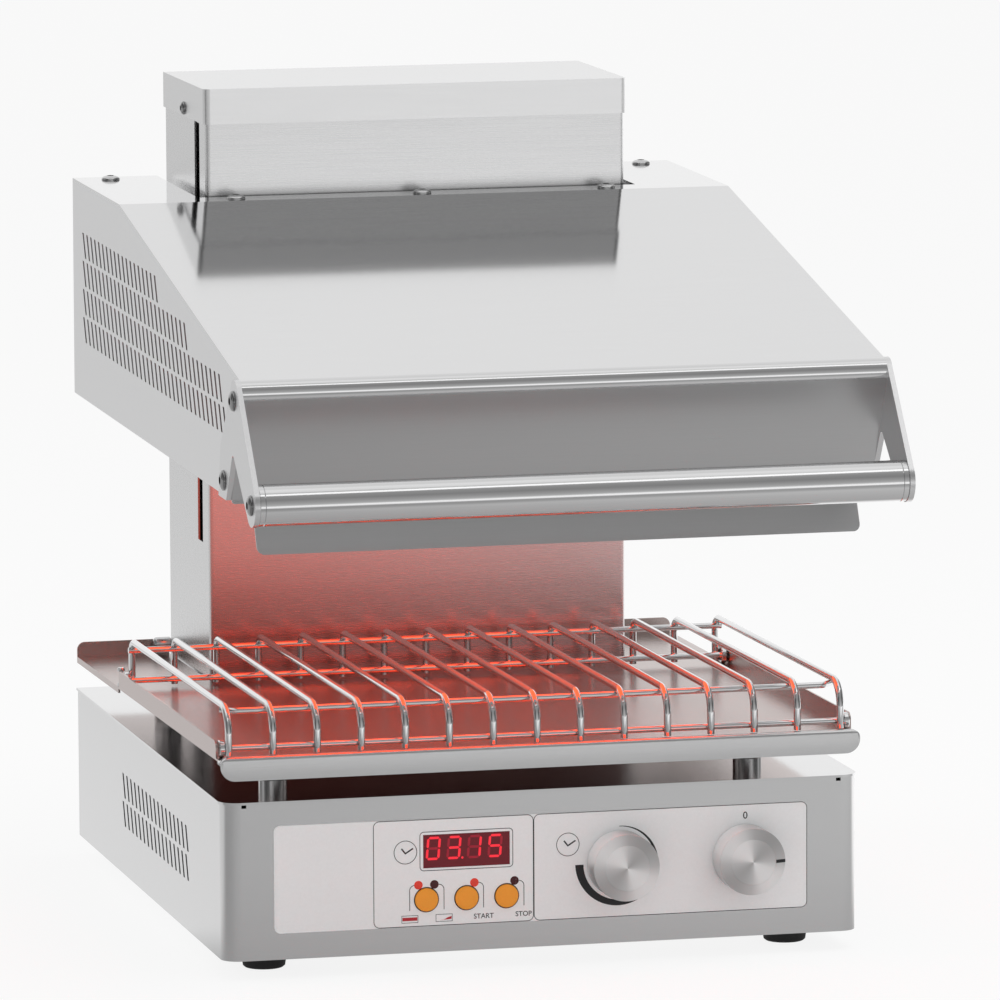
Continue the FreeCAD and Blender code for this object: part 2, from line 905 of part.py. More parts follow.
def make_tray():
    floor_low = tray_top - sheet
    cut_half = column_half + tray_column_gap
    cut_front_y = column_front_y - tray_column_gap
    corners = [
        Vector(-tray_half, tray_front_y, floor_low),
        Vector(tray_half, tray_front_y, floor_low),
        Vector(tray_half, tray_rear_y, floor_low),
        Vector(cut_half, tray_rear_y, floor_low),
        Vector(cut_half, cut_front_y, floor_low),
        Vector(-cut_half, cut_front_y, floor_low),
        Vector(-cut_half, tray_rear_y, floor_low),
        Vector(-tray_half, tray_rear_y, floor_low),
    ]
    shapes = [prism(corners, up * sheet)]
    for side in (-1, 1):
        outer_x = side * tray_half
        wall = sorted([outer_x, outer_x - side * sheet])
        flange = [
            Vector(wall[0], tray_flange_front_y, floor_low),
            Vector(wall[0], tray_flange_rear_y, floor_low),
            Vector(wall[0], tray_flange_rear_y, tray_top + tray_flange_height),
            Vector(wall[0], tray_flange_front_y, tray_top + tray_flange_height),
        ]
        shapes.append(prism(flange, right * sheet, [0, 0, 0, tray_upstand_radius]))
        shapes.append(box(wall[0], wall[1], tray_flange_rear_y + sheet, tray_rear_y,
                          tray_top - tray_lip_depth, tray_top))
        upstand_inner_x = side * cut_half
        top_z = tray_top + tray_upstand
        upstand = [
            Vector(upstand_inner_x, tray_rear_y - sheet, floor_low),
            Vector(outer_x, tray_rear_y - sheet, floor_low),
            Vector(outer_x, tray_rear_y - sheet, top_z),
            Vector(upstand_inner_x, tray_rear_y - sheet, top_z),
        ]
        shapes.append(prism(upstand, rear * sheet, [0, 0, tray_upstand_radius, 0]))
    return tray_tilt(joined(shapes))


def make_posts():
    posts = []
    for y in (front_post_y, rear_post_y):
        height = tray_floor_height - sheet + tray_rise(y + post_radius) - running_gap
        for x in (-post_x, post_x):
            posts.append(many_sided(Vector(x, y, deck_top), up, post_radius, height, cap_sides))
    return group(posts)


def make_side_pins():
    """A small upright pin with a head and a nut, standing on the tray behind each side flange."""
    x = tray_half - pin_radius
    low = tray_top
    shank = many_sided(Vector(x, pin_y, low), up, pin_radius / 2, pin_length, nut_sides)
    nut = many_sided(Vector(x, pin_y, low), up, pin_radius, pin_head_height, nut_sides)
    head = many_sided(Vector(x, pin_y, low + pin_length - pin_head_height), up, pin_radius,
                      pin_head_height, nut_sides)
    return tray_tilt(pair(joined([shank, nut, head])))


rack_top_z = tray_top + rack_top_height
rack_foot_z = tray_top + rack_leg_gap
rack_seat = (rack_wire + rack_cross_wire) / 2 - weld_depth
rack_low_z = tray_top + rack_disc_radius + running_gap


def make_rack():
    """Fifteen bent hoops side by side, welded onto two lower and two upper cross wires."""
    hoops = []
    for i in range(rack_hoop_count):
        x = -rack_half_width + i * rack_half_width * 2 / (rack_hoop_count - 1)
        corners = [
            Vector(x, rack_front_y, rack_foot_z),
            Vector(x, rack_front_y, rack_top_z),
            Vector(x, rack_rear_y, rack_top_z),
            Vector(x, rack_rear_y, rack_foot_z),
        ]
        path = bent_path(corners, [(rack_front_bend, front_bend_chords), (rack_rear_bend, rear_bend_chords)])
        hoops.append(wire(path, right, rack_wire))
    low_half = rack_half_width + rack_wire / 2 + touching
    rear_half = rack_half_width + rack_wire_end
    low_front_y = rack_front_y + rack_seat
    low_rear_y = rack_rear_y - rack_seat
    upper_rear_z = rack_top_z - rack_upper_rear_drop
    upper_z = rack_top_z - rack_seat
    crosses = []
    for half, y, z in (
        (low_half, low_front_y, rack_low_z),
        (low_half, low_rear_y, rack_low_z),
        (rear_half, low_rear_y, upper_rear_z),
    ):
        crosses.append(wire([Vector(-half, y, z), Vector(half, y, z)], up, rack_cross_wire))
    curl_corners = [
        Vector(-rack_half_width, rack_upper_front_y + rack_curl, upper_z),
        Vector(-rack_half_width + rack_curl, rack_upper_front_y, upper_z),
        Vector(rack_half_width - rack_curl, rack_upper_front_y, upper_z),
        Vector(rack_half_width, rack_upper_front_y + rack_curl, upper_z),
    ]
    curl_bend = (rack_curl_radius, rear_bend_chords)
    crosses.append(wire(bent_path(curl_corners, [curl_bend, curl_bend]), up, rack_cross_wire))
    return tray_tilt(joined(hoops + crosses))


def make_rack_discs():
    discs = []
    x = rack_half_width + rack_wire / 2 + touching
    for y in (rack_front_y + rack_seat, rack_rear_y - rack_seat):
        for side in (left, right):
            discs.append(many_sided(side * x + Vector(0, y, rack_low_z), side,
                                    rack_disc_radius, rack_disc_thickness, head_sides))
    return tray_tilt(group(discs))


# Hood, built level and then drooped a little at the front
def hood_tilt(shape):
    """The hood's droop, about a line through the column."""
    pivot = Vector(0, hood_pivot_y, deck_top + hood_pivot_height)
    return shape.rotate(pivot, right, hood_droop_angle)


# The slope runs tangent onto the bead and the front plate tangent off it, which sets both their angles
bead_z = deck_top + bead_height
slope_run = hood_bend_y - bead_y
slope_fall = hood_top - bead_z
slope_pitch = math.atan2(slope_fall, slope_run) - math.asin(bead_radius / math.hypot(slope_run, slope_fall))
bend_inner_y = hood_bend_y + sheet * math.tan(slope_pitch / 2)
plate_run = hood_fold_y - bead_y
plate_fall = bead_z - hood_low
plate_lean = math.atan2(plate_run, plate_fall) + math.asin(bead_radius / math.hypot(plate_run, plate_fall))
fold_back_y = hood_fold_y + sheet / math.cos(plate_lean)
bead_start = math.pi / 2 + slope_pitch
bead_end = math.pi + plate_lean


def under_top(y):
    """Height of the top sheet's underside above a line across the hood."""
    return hood_top - sheet - max(0, bend_inner_y - y) * math.tan(slope_pitch)


def polar(radius, angle):
    """A point of the bead in the plane x = 0."""
    return Vector(0, bead_y + radius * math.cos(angle), bead_z + radius * math.sin(angle))


def make_hood_top():
    """The flat top, the slope and the rounded front edge as one bent sheet, notched for the column."""
    bead_middle = (bead_start + bead_end) / 2
    inner_radius = bead_radius - sheet
    outer_rear = Vector(0, hood_rear_y, hood_top)
    outer_bend = Vector(0, hood_bend_y, hood_top)
    inner_rear = Vector(0, hood_rear_y, hood_top - sheet)
    inner_bend = Vector(0, bend_inner_y, hood_top - sheet)
    edges = [
        Part.makeLine(outer_rear, outer_bend),
        Part.makeLine(outer_bend, polar(bead_radius, bead_start)),
        Part.Arc(polar(bead_radius, bead_start), polar(bead_radius, bead_middle),
                 polar(bead_radius, bead_end)).toShape(),
        Part.makeLine(polar(bead_radius, bead_end), polar(inner_radius, bead_end)),
        Part.Arc(polar(inner_radius, bead_end), polar(inner_radius, bead_middle),
                 polar(inner_radius, bead_start)).toShape(),
        Part.makeLine(polar(inner_radius, bead_start), inner_bend),
        Part.makeLine(inner_bend, inner_rear),
        Part.makeLine(inner_rear, outer_rear),
    ]
    profile = Part.Face(Part.Wire(edges))
    profile.translate(left * hood_half)
    body = profile.extrude(right * hood_width)
    notch = box(-notch_half, notch_half, notch_front_y, hood_rear_y + overrun,
                hood_top - overrun, hood_top + overrun)
    return hood_tilt(body.cut(notch))


def make_hood_side(side):
    """A side panel with its four rows of slots and its turned rear flange."""
    x = side * hood_half
    outline = [
        Vector(x, fold_back_y, hood_low),
        Vector(x, hood_rear_y, hood_low),
        Vector(x, hood_rear_y, under_top(hood_rear_y)),
        Vector(x, bend_inner_y, under_top(bend_inner_y)),
    ]
    for angle in (bead_start, bead_end):
        outline.append(polar(bead_radius - sheet, angle) + right * x)
    slots = []
    for row, count in enumerate(hood_slot_counts):
        top = hood_top - hood_slot_top_drop - row * hood_slot_row_pitch
        slots += slot_row(x, hood_slot_last_y, top, count, hood_slot_pitch,
                          hood_slot_width, hood_slot_height, hood_slot_lean)
    wall = holed_plate(closed_wire(outline, [0] * len(outline)), slots, Vector(-side * sheet, 0, 0))
    flange_x = sorted([side * (hood_half - sheet), side * (notch_half + sheet)])
    flange = box(flange_x[0], flange_x[1], hood_rear_y - sheet, hood_rear_y, hood_low, under_top(hood_rear_y))
    return hood_tilt(joined([wall, flange]))


def make_hood_channel():
    """The U-shaped inner wall that passes round the column."""
    outer_half = notch_half + sheet
    front_y = notch_front_y - sheet
    outer = box(-outer_half, outer_half, front_y, hood_rear_y, hood_low, hood_top - sheet)
    inner = box(-notch_half, notch_half, notch_front_y, hood_rear_y + overrun,
                hood_low - overrun, hood_top + overrun)
    return hood_tilt(outer.cut(inner))


def make_hood_front():
    """The front plate, leaning back under the bead, and the narrower tongue folded forward below it."""
    lean = math.radians(tongue_lean)
    top = polar(bead_radius, bead_end) + left * hood_half
    top_back = polar(bead_radius - sheet, bead_end) + left * hood_half
    fold = Vector(-hood_half, hood_fold_y, hood_low)
    lip = fold + Vector(0, -math.tan(lean), -1) * (tongue_drop + overrun)
    plate_back = Vector(0, math.cos(plate_lean), math.sin(plate_lean))
    tongue_back = Vector(0, math.cos(lean), -math.sin(lean))
    fold_back = fold + (plate_back + tongue_back) * (sheet / (1 + plate_back.dot(tongue_back)))
    section = [top, fold, lip, lip + tongue_back * sheet, fold_back, top_back]
    body = prism(section, right * hood_width)
    y = top.y - overrun
    low = hood_low - tongue_drop
    shoulder = hood_low - shoulder_drop
    outline = [
        Vector(-hood_half, y, bead_z),
        Vector(-hood_half, y, shoulder),
        Vector(-tongue_half, y, shoulder),
        Vector(-tongue_half, y, low),
        Vector(tongue_half, y, low),
        Vector(tongue_half, y, shoulder),
        Vector(hood_half, y, shoulder),
        Vector(hood_half, y, bead_z),
    ]
    radii = [0, shoulder_radius, 0, tongue_radius, tongue_radius, 0, shoulder_radius, 0]
    return hood_tilt(body.common(prism(outline, rear * (hood_rear_y - y), radii)).Solids[0])


def make_hood_pan():
    half = hood_half - sheet - air
    rear_y = hood_rear_y - sheet - air
    front_y = fold_back_y + air
    notch_x = notch_half + sheet + air
    notch_y = notch_front_y - sheet - air
    corners = [
        Vector(-half, front_y, hood_low),
        Vector(half, front_y, hood_low),
        Vector(half, rear_y, hood_low),
        Vector(notch_x, rear_y, hood_low),
        Vector(notch_x, notch_y, hood_low),
        Vector(-notch_x, notch_y, hood_low),
        Vector(-notch_x, rear_y, hood_low),
        Vector(-half, rear_y, hood_low),
    ]
    opening = [
        Vector(-heater_half_width, heater_front_y, hood_low),
        Vector(heater_half_width, heater_front_y, hood_low),
        Vector(heater_half_width, heater_rear_y, hood_low),
        Vector(-heater_half_width, heater_rear_y, hood_low),
    ]
    holes = [closed_wire(opening, [0] * len(opening))]
    return hood_tilt(holed_plate(closed_wire(corners, [0] * len(corners)), holes, up * sheet))


glass_half = heater_half_width + heater_glass_border
glass_front_y = heater_front_y - heater_glass_border
glass_rear_y = heater_rear_y + heater_glass_border
glass_low = hood_low + sheet
glass_high = glass_low + heater_glass_thickness
recess_top = glass_high + insulation_height - insulation_wall


def make_heater_glass():
    return hood_tilt(box(-glass_half, glass_half, glass_front_y, glass_rear_y, glass_low, glass_high))


def make_insulation():
    """A dish of insulation standing on the glass, open below for the heating strip."""
    outer = box(-glass_half, glass_half, glass_front_y, glass_rear_y,
                glass_high, glass_high + insulation_height)
    inner = box(-heater_half_width, heater_half_width, heater_front_y, heater_rear_y,
                glass_high - overrun, recess_top)
    return hood_tilt(outer.cut(inner))


def make_element():
    """One flat strip wound to and fro under the insulation."""
    x0 = -heater_half_width + element_margin
    x1 = heater_half_width - element_margin
    y0 = heater_front_y + element_margin
    y1 = heater_rear_y - element_margin
    low = recess_top - element_height
    pitch = (y1 - y0 - element_strip) / (element_runs - 1)
    gaps = []
    for i in range(element_runs - 1):
        ends = (x0 - overrun, x1 - element_strip) if i % 2 == 0 else (x0 + element_strip, x1 + overrun)
        gap_y = y0 + element_strip + i * pitch
        gaps.append(box(ends[0], ends[1], gap_y, gap_y + pitch - element_strip,
                        low - overrun, recess_top + overrun))
    return hood_tilt(box(x0, x1, y0, y1, low, recess_top).cut(group(gaps)))


def make_hood_screws():
    seats = [Vector(-hood_outer_screw_x, hood_outer_screw_y, hood_top),
             Vector(hood_outer_screw_x, hood_outer_screw_y, hood_top)]
    for x in (-hood_inner_screw_x, 0, hood_inner_screw_x):
        seats.append(Vector(x, hood_inner_screw_y, hood_top))
    heads = [screw_head(seat, up, hood_screw_radius, hood_screw_height) for seat in seats]
    return hood_tilt(group(heads))


# Handle, brackets and their bolts
def make_handle():
    start = Vector(-hood_half, handle_y, deck_top + handle_height)
    tube = round_bar(start, right, handle_radius, hood_width)
    hollow = many_sided(start, right, handle_radius - handle_wall, hood_width, head_sides)
    return hood_tilt(tube.cut(hollow))


def make_bracket(side):
    """A flat arm from the bead down to the handle, with a notched heel against the hood's side."""
    x = hood_half if side > 0 else -hood_half - bracket_thickness
    top = Vector(x, bracket_top_y, deck_top + bracket_top_height)
    end = Vector(x, handle_y, deck_top + handle_height)
    notch = Vector(x, bracket_notch_y, deck_top + bracket_notch_height)
    heel_inner = Vector(x, bracket_leg_inner_y, hood_low)
    heel_outer = Vector(x, bracket_leg_outer_y, hood_low)
    heel_top = Vector(x, bracket_heel_y, deck_top + bracket_heel_height)
    front_top, front_end = tangent(top, bracket_top_radius, end, bracket_end_radius, -1)
    leg_end, leg_notch = tangent(end, bracket_end_radius, notch, -bracket_notch_radius, -1)
    notch_leg, heel_touch = tangent(notch, bracket_notch_radius, heel_inner, 0, 1)
    heel_side, rear_top = tangent(heel_top, 0, top, bracket_top_radius, -1)
    front_normal = (front_end - end).normalize()
    under = (leg_end - end).normalize()
    lowest = end + (front_normal + under).normalize() * bracket_end_radius
    apex = notch + up * bracket_notch_radius
    over = (front_top - top).normalize() + (rear_top - top).normalize()
    crown = top + over.normalize() * bracket_top_radius
    edges = [
        Part.makeLine(front_top, front_end),
        Part.Arc(front_end, lowest, leg_end).toShape(),
        Part.makeLine(leg_end, leg_notch),
        Part.Arc(leg_notch, apex, notch_leg).toShape(),
        Part.makeLine(notch_leg, heel_inner),
        Part.makeLine(heel_inner, heel_outer),
        Part.makeLine(heel_outer, heel_top),
        Part.makeLine(heel_top, rear_top),
        Part.Arc(rear_top, crown, front_top).toShape(),
    ]
    return hood_tilt(Part.Face(Part.Wire(edges)).extrude(right * bracket_thickness))


def make_bracket_bolts():
    x = hood_half + bracket_thickness
    seats = [
        Vector(x, bracket_top_bolt_y, deck_top + bracket_top_bolt_height),
        Vector(x, bracket_low_bolt_y, deck_top + bracket_low_bolt_height),
        Vector(x, handle_y, deck_top + handle_height),
    ]
    heads = [screw_head(seat, right, bracket_bolt_radius, bracket_bolt_height) for seat in seats]
    return hood_tilt(group(heads + [mirrored(head) for head in heads]))


# Every piece by name
pieces = {
    "base_front_panel": make_front_panel(),
    "base_housing": make_base_housing(),
    "base_deck": make_deck(),
    "base_floor": make_floor(),
    "rubber_feet": make_feet(),
    "control_label": make_label(),
    "display_window": make_window(),
    "display_module": make_display_module(),
    "leds_lit": make_leds(lit_led_xs),
    "leds_dark": make_leds(dark_led_xs),
    "button_left": make_button(button_xs[0]),
    "button_start": make_button(button_xs[1]),
    "button_stop": make_button(button_xs[2]),
    "microswitches": make_microswitches(),
    "control_board": make_board(),
    "timer_knob": make_knob(timer_x),
    "timer_shaft": make_shaft(timer_x),
    "timer_encoder": make_switch_body(timer_x, encoder_width, encoder_depth),
    "power_knob": make_knob(power_x),
    "power_shaft": make_shaft(power_x),
    "power_switch": make_switch_body(power_x, rotary_width, rotary_depth),
    "cable_gland": make_gland(),
    "terminal_block": make_terminal_block(),
    "column_shell": make_column_shell(),
    "column_back": make_column_back(),
    "column_cap": make_column_cap(),
    "cap_screws": make_cap_screws(),
    "column_studs": make_column_studs(),
    "guide_rods": make_guide_rods(),
    "rod_foot_plate": make_rod_foot_plate(),
    "head_plate": make_head_plate(),
    "pulleys": make_pulleys(),
    "counterweight": make_counterweight(),
    "carriage_cables": make_cables(side_slot_y, crossbar_top),
    "weight_cables": make_cables(rear_cable_y, deck_top + weight_bottom + weight_height),
    "lift_carriage": make_carriage(),
    "drip_tray": make_tray(),
    "tray_posts": make_posts(),
    "tray_side_pins": make_side_pins(),
    "wire_rack": make_rack(),
    "rack_discs": make_rack_discs(),
    "hood_top": make_hood_top(),
    "hood_side_left": make_hood_side(-1),
    "hood_side_right": make_hood_side(1),
    "hood_channel": make_hood_channel(),
    "hood_front": make_hood_front(),
    "hood_pan": make_hood_pan(),
    "heater_glass": make_heater_glass(),
    "heater_insulation": make_insulation(),
    "heating_strip": make_element(),
    "hood_screws": make_hood_screws(),
    "handle_tube": make_handle(),
    "bracket_left": make_bracket(-1),
    "bracket_right": make_bracket(1),
    "bracket_bolts": make_bracket_bolts(),
}

# The part reaches from the handle's bracket to the cord inlet, and the origin lies midway between
front_limit = pieces["bracket_left"].BoundBox.YMin
rear_limit = pieces["cable_gland"].BoundBox.YMax
centre_y = (front_limit + rear_limit) / 2

os.makedirs("parts", exist_ok=True)
for name, shape in pieces.items():
    shape.translate(front * centre_y)
    shape.exportStep("parts/" + name + ".step")
    print(name, len(shape.Solids), shape.isValid(), round(shape.Volume))
print("origin moved back by", centre_y)
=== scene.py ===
"""Looks of the lift salamander grill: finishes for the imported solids, the round, printed and lit pieces
that stand in front of them or for them, and the studio with its lamps and camera.

Lengths are written in millimetres and turned into metres by MM. place(x, y, z) takes X across from the
middle, Y back from the front panel and Z up from the feet. The hood and the tray lean a little, so what
sits on them is made level and then leaned with them."""
import json
import math

import bmesh
import bpy
from mathutils import Matrix, Vector


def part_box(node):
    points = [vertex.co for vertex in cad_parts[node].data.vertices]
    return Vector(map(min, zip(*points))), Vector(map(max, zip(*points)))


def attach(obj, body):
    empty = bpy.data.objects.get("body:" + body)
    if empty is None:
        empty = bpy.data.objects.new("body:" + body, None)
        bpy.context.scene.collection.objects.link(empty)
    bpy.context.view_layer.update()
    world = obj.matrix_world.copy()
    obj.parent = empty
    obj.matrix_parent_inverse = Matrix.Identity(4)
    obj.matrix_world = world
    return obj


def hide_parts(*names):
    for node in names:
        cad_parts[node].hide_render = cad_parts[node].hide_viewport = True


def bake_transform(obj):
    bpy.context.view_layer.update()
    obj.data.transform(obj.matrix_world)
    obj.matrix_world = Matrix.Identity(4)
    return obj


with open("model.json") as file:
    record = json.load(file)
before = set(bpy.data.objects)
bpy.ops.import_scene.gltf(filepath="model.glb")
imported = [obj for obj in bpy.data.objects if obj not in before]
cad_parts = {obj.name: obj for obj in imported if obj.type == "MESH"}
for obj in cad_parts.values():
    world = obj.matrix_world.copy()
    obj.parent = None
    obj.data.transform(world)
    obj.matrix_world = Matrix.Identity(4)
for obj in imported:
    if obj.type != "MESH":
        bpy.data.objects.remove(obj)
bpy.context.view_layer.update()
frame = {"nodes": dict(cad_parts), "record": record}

MM = 0.001
RIGHT = Vector((1, 0, 0))
FRONT = Vector((0, -1, 0))
REAR = Vector((0, 1, 0))
UP = Vector((0, 0, 1))

# Lean of the tray and the hood, in degrees about a line across the part
tray_lean = -0.6
tray_pivot_y = 454
tray_top_z = 130.6
hood_lean = 0.55
hood_pivot_y = 352.5
hood_pivot_z = 372
hood_top_z = 443.9

# Camera solved from the photograph's edges
camera_azimuth = 13.77
camera_elevation = 8.05
camera_roll = -0.27
camera_distance = 5.59945
camera_target = Vector((0.01943, 0.00995, 0.26188))
camera_lens = 320.68
camera_reach = 60
sensor_width = 36

panel_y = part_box("base_front_panel")[0].y
label_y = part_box("control_label")[0].y


def place(x, y, z):
    """A point of the frame from build coordinates in millimetres."""
    return Vector((x * MM, panel_y + y * MM, z * MM))


def lean(pivot, degrees):
    turn = Matrix.Rotation(math.radians(degrees), 4, "X")
    return Matrix.Translation(pivot) @ turn @ Matrix.Translation(-pivot)


on_tray = lean(place(0, tray_pivot_y, tray_top_z), tray_lean)
on_hood = lean(place(0, hood_pivot_y, hood_pivot_z), hood_lean)


# Shader building. A value is either a number or colour, or the output of another node
def feed(tree, socket, value):
    if isinstance(value, bpy.types.NodeSocket):
        tree.links.new(value, socket)
    else:
        socket.default_value = value


def new_node(tree, kind, **inputs):
    made = tree.nodes.new(kind)
    for name, value in inputs.items():
        feed(tree, made.inputs[name.replace("_", " ")], value)
    return made


def calculate(tree, operation, *values):
    made = tree.nodes.new("ShaderNodeMath")
    made.operation = operation
    for socket, value in zip(made.inputs, values):
        feed(tree, socket, value)
    return made.outputs["Value"]


def remap(tree, value, low, high, first=0.0, last=1.0):
    """Carries a value from the span low to high over to the span first to last."""
    return new_node(tree, "ShaderNodeMapRange", Value=value, From_Min=low, From_Max=high, To_Min=first,
                    To_Max=last).outputs["Result"]


def mix_colours(tree, blend, share, first, second):
    made = new_node(tree, "ShaderNodeMixRGB", Fac=share, Color1=first, Color2=second)
    made.blend_type = blend
    return made.outputs["Color"]


def mix_shaders(tree, share, first, second):
    made = tree.nodes.new("ShaderNodeMixShader")
    for socket, source in zip(made.inputs, (share, first, second)):
        feed(tree, socket, source)
    return made.outputs["Shader"]


def axes(tree, source):
    """The X, Y and Z of a vector."""
    return new_node(tree, "ShaderNodeSeparateXYZ", Vector=source).outputs


def coordinates(tree, kind):
    return tree.nodes.new("ShaderNodeTexCoord").outputs[kind]


def ramp_through(tree, source, stops):
    """A ramp over a value, from (position, level or colour) stops."""
    ramp = tree.nodes.new("ShaderNodeValToRGB")
    elements = ramp.color_ramp.elements
    while len(elements) < len(stops):
        elements.new(1.0)
    for element, (position, level) in zip(elements, stops):
        element.position = position
        element.color = (*(level if isinstance(level, tuple) else (level,) * 3), 1)
    tree.links.new(source, ramp.inputs["Fac"])
    return ramp.outputs["Color"]


# Finishes
fine_grain = 1400
long_grain = 18
coarse_grain = 300
grain_detail = 3.0
grain_roughness = 0.6
dark_from = 0.25
light_from = 0.75
steel_spread = 0.018
lens_roughness = 0.25
glass_grain = 60.0
glass_spread = 0.1
glass_index = 1.5
bump_height = 0.0002
blue_share = 1.005


def finish(name, colour, metallic=0.0, roughness=0.5):
    """A material with a plain base, to which the functions below add grain."""
    made = bpy.data.materials.new(name)
    made.use_nodes = True
    shader = made.node_tree.nodes["Principled BSDF"]
    shader.inputs["Base Color"].default_value = (*colour, 1)
    shader.inputs["Metallic"].default_value = metallic
    shader.inputs["Roughness"].default_value = roughness
    return made


def add_bump(tree, noise, strength):
    rough = new_node(tree, "ShaderNodeBump", Strength=strength, Distance=bump_height, Height=noise)
    tree.links.new(rough.outputs["Normal"], tree.nodes["Principled BSDF"].inputs["Normal"])


def add_grain(made, scale, colour_spread, roughness_spread, bump):
    """Noise, stretched by its scale along each axis, that varies colour and roughness and adds a bump."""
    tree = made.node_tree
    shader = tree.nodes["Principled BSDF"]
    colour = list(shader.inputs["Base Color"].default_value)[:3]
    roughness = shader.inputs["Roughness"].default_value
    mapping = new_node(tree, "ShaderNodeMapping", Vector=coordinates(tree, "Object"), Scale=scale)
    noise = new_node(tree, "ShaderNodeTexNoise", Vector=mapping.outputs["Vector"], Scale=1.0,
                     Detail=grain_detail, Roughness=grain_roughness).outputs["Fac"]
    dark, light = [tuple(max(0, min(1, c * (1 + sign * colour_spread))) for c in colour) for sign in (-1, 1)]
    shades = ramp_through(tree, noise, [(dark_from, dark), (light_from, light)])
    tree.links.new(shades, shader.inputs["Base Color"])
    dullness = remap(tree, noise, 0, 1, max(0, roughness - roughness_spread), roughness + roughness_spread)
    tree.links.new(dullness, shader.inputs["Roughness"])
    if bump:
        add_bump(tree, noise, bump)
    return made


def steel(name, level, roughness, grain, bump=0.06):
    """Sheet steel brushed along one axis: grain names the axis."""
    scale = [long_grain if axis == grain else fine_grain for axis in "xyz"]
    made = finish(name, (level, level, level * blue_share), 1.0, roughness)
    return add_grain(made, scale, steel_spread, min(0.05, roughness * 0.3), bump)


def moulded(name, colour, roughness, scale=900, spread=0.08, bump=0.15):
    return add_grain(finish(name, colour, 0.0, roughness), (scale,) * 3, spread, 0.06, bump)


def lit(name, colour, strength):
    """A lens that gives off its own colour."""
    made = finish(name, colour, 0.0, lens_roughness)
    shader = made.node_tree.nodes["Principled BSDF"]
    shader.inputs["Emission Color"].default_value = (*colour, 1)
    shader.inputs["Emission Strength"].default_value = strength
    return add_grain(made, (coarse_grain,) * 3, 0.1, 0.05, 0)


def glass_with_painted_glow(name, tint, roughness, glow, strength):
    """Thin tinted glass that lets light straight through, shines at its face, and carries a painted red glow
    of the heater as an emission of its own.
    """
    made = bpy.data.materials.new(name)
    made.use_nodes = True
    tree = made.node_tree
    tree.nodes.remove(tree.nodes["Principled BSDF"])
    noise = new_node(tree, "ShaderNodeTexNoise", Vector=coordinates(tree, "Object"), Scale=glass_grain)
    deep = tuple(c * (1 - glass_spread) for c in tint)
    pale = tuple(min(1, c * (1 + glass_spread)) for c in tint)
    uneven = ramp_through(tree, noise.outputs["Fac"], [(0, deep), (1, pale)])
    through = new_node(tree, "ShaderNodeBsdfTransparent", Color=uneven).outputs["BSDF"]
    shine = new_node(tree, "ShaderNodeBsdfGlossy", Roughness=roughness).outputs["BSDF"]
    fresnel = new_node(tree, "ShaderNodeFresnel", IOR=glass_index).outputs["Fac"]
    # Painted glow: the glass itself gives off red light
    warm = new_node(tree, "ShaderNodeEmission", Color=(*glow, 1), Strength=strength).outputs["Emission"]
    both = tree.nodes.new("ShaderNodeAddShader")
    for socket, source in zip(both.inputs, (mix_shaders(tree, fresnel, through, shine), warm)):
        tree.links.new(source, socket)
    tree.links.new(both.outputs["Shader"], tree.nodes["Material Output"].inputs["Surface"])
    return made


finishes = {
    "case_steel": steel("case_steel", 0.74, 0.24, "x", 0.03),
    "side_steel": steel("side_steel", 0.8, 0.3, "z", 0.04),
    "front_steel": steel("front_steel", 0.56, 0.3, "x"),
    "polished_steel": steel("polished_steel", 0.72, 0.085, "x", 0.015),
    "tray_steel": steel("tray_steel", 0.66, 0.24, "x"),
    "bracket_steel": steel("bracket_steel", 0.74, 0.3, "z"),
    "plain_steel": steel("plain_steel", 0.5, 0.4, "x"),
    "weight_steel": add_grain(finish("weight_steel", (0.16, 0.16, 0.17), 0.6, 0.6), (coarse_grain,) * 3,
                              0.2, 0.1, 0.4),
    "turned_steel": steel("turned_steel", 0.72, 0.16, "z", 0.03),
    "screw_steel": steel("screw_steel", 0.62, 0.16, "z", 0.03),
    "bolt_steel": steel("bolt_steel", 0.3, 0.16, "z", 0.03),
    "cable_steel": steel("cable_steel", 0.55, 0.35, "z", 0.3),
    "rack_chrome": steel("rack_chrome", 0.78, 0.09, "y", 0.01),
    "foot_rubber": moulded("foot_rubber", (0.02, 0.02, 0.02), 0.7),
    "label_film": moulded("label_film", (0.9, 0.905, 0.91), 0.42, 700, 0.02, 0.04),
    "window_red": lit("window_red", (0.1, 0.002, 0.007), 0.45),
    "module_black": moulded("module_black", (0.02, 0.02, 0.02), 0.6),
    "led_lit": lit("led_lit", (0.55, 0.035, 0.02), 0.35),
    "led_dark": moulded("led_dark", (0.06, 0.006, 0.008), 0.25, 300, 0.1, 0),
    "button_orange": moulded("button_orange", (1.0, 0.36, 0.025), 0.45, 1200, 0.04, 0.1),
    "board_green": moulded("board_green", (0.03, 0.16, 0.06), 0.5, 200),
    "knob_metal": finish("knob_metal", (0.9, 0.9, 0.9), 0.55, 0.26),
    "gland_plastic": moulded("gland_plastic", (0.03, 0.03, 0.03), 0.55),
    "terminal_plastic": moulded("terminal_plastic", (0.75, 0.73, 0.68), 0.5),
    "heater_glass": glass_with_painted_glow("heater_glass", (0.9, 0.45, 0.3), 0.05, (1.0, 0.22, 0.12), 0.55),
    "insulation_fibre": moulded("insulation_fibre", (0.8, 0.76, 0.68), 0.9, 400, 0.08, 0.5),
    "element_alloy": lit("element_alloy", (1.0, 0.13, 0.04), 5.0),
}
ink = moulded("ink", (0.015, 0.015, 0.017), 0.5, 900, 0.05, 0)
red_ink = moulded("red_ink", (0.5, 0.02, 0.03), 0.5, 900, 0.05, 0)
dark_segment = lit("dark_segment", (0.22, 0.004, 0.015), 0.6)
bright_segment = lit("bright_segment", (0.7, 0.015, 0.03), 0.8)
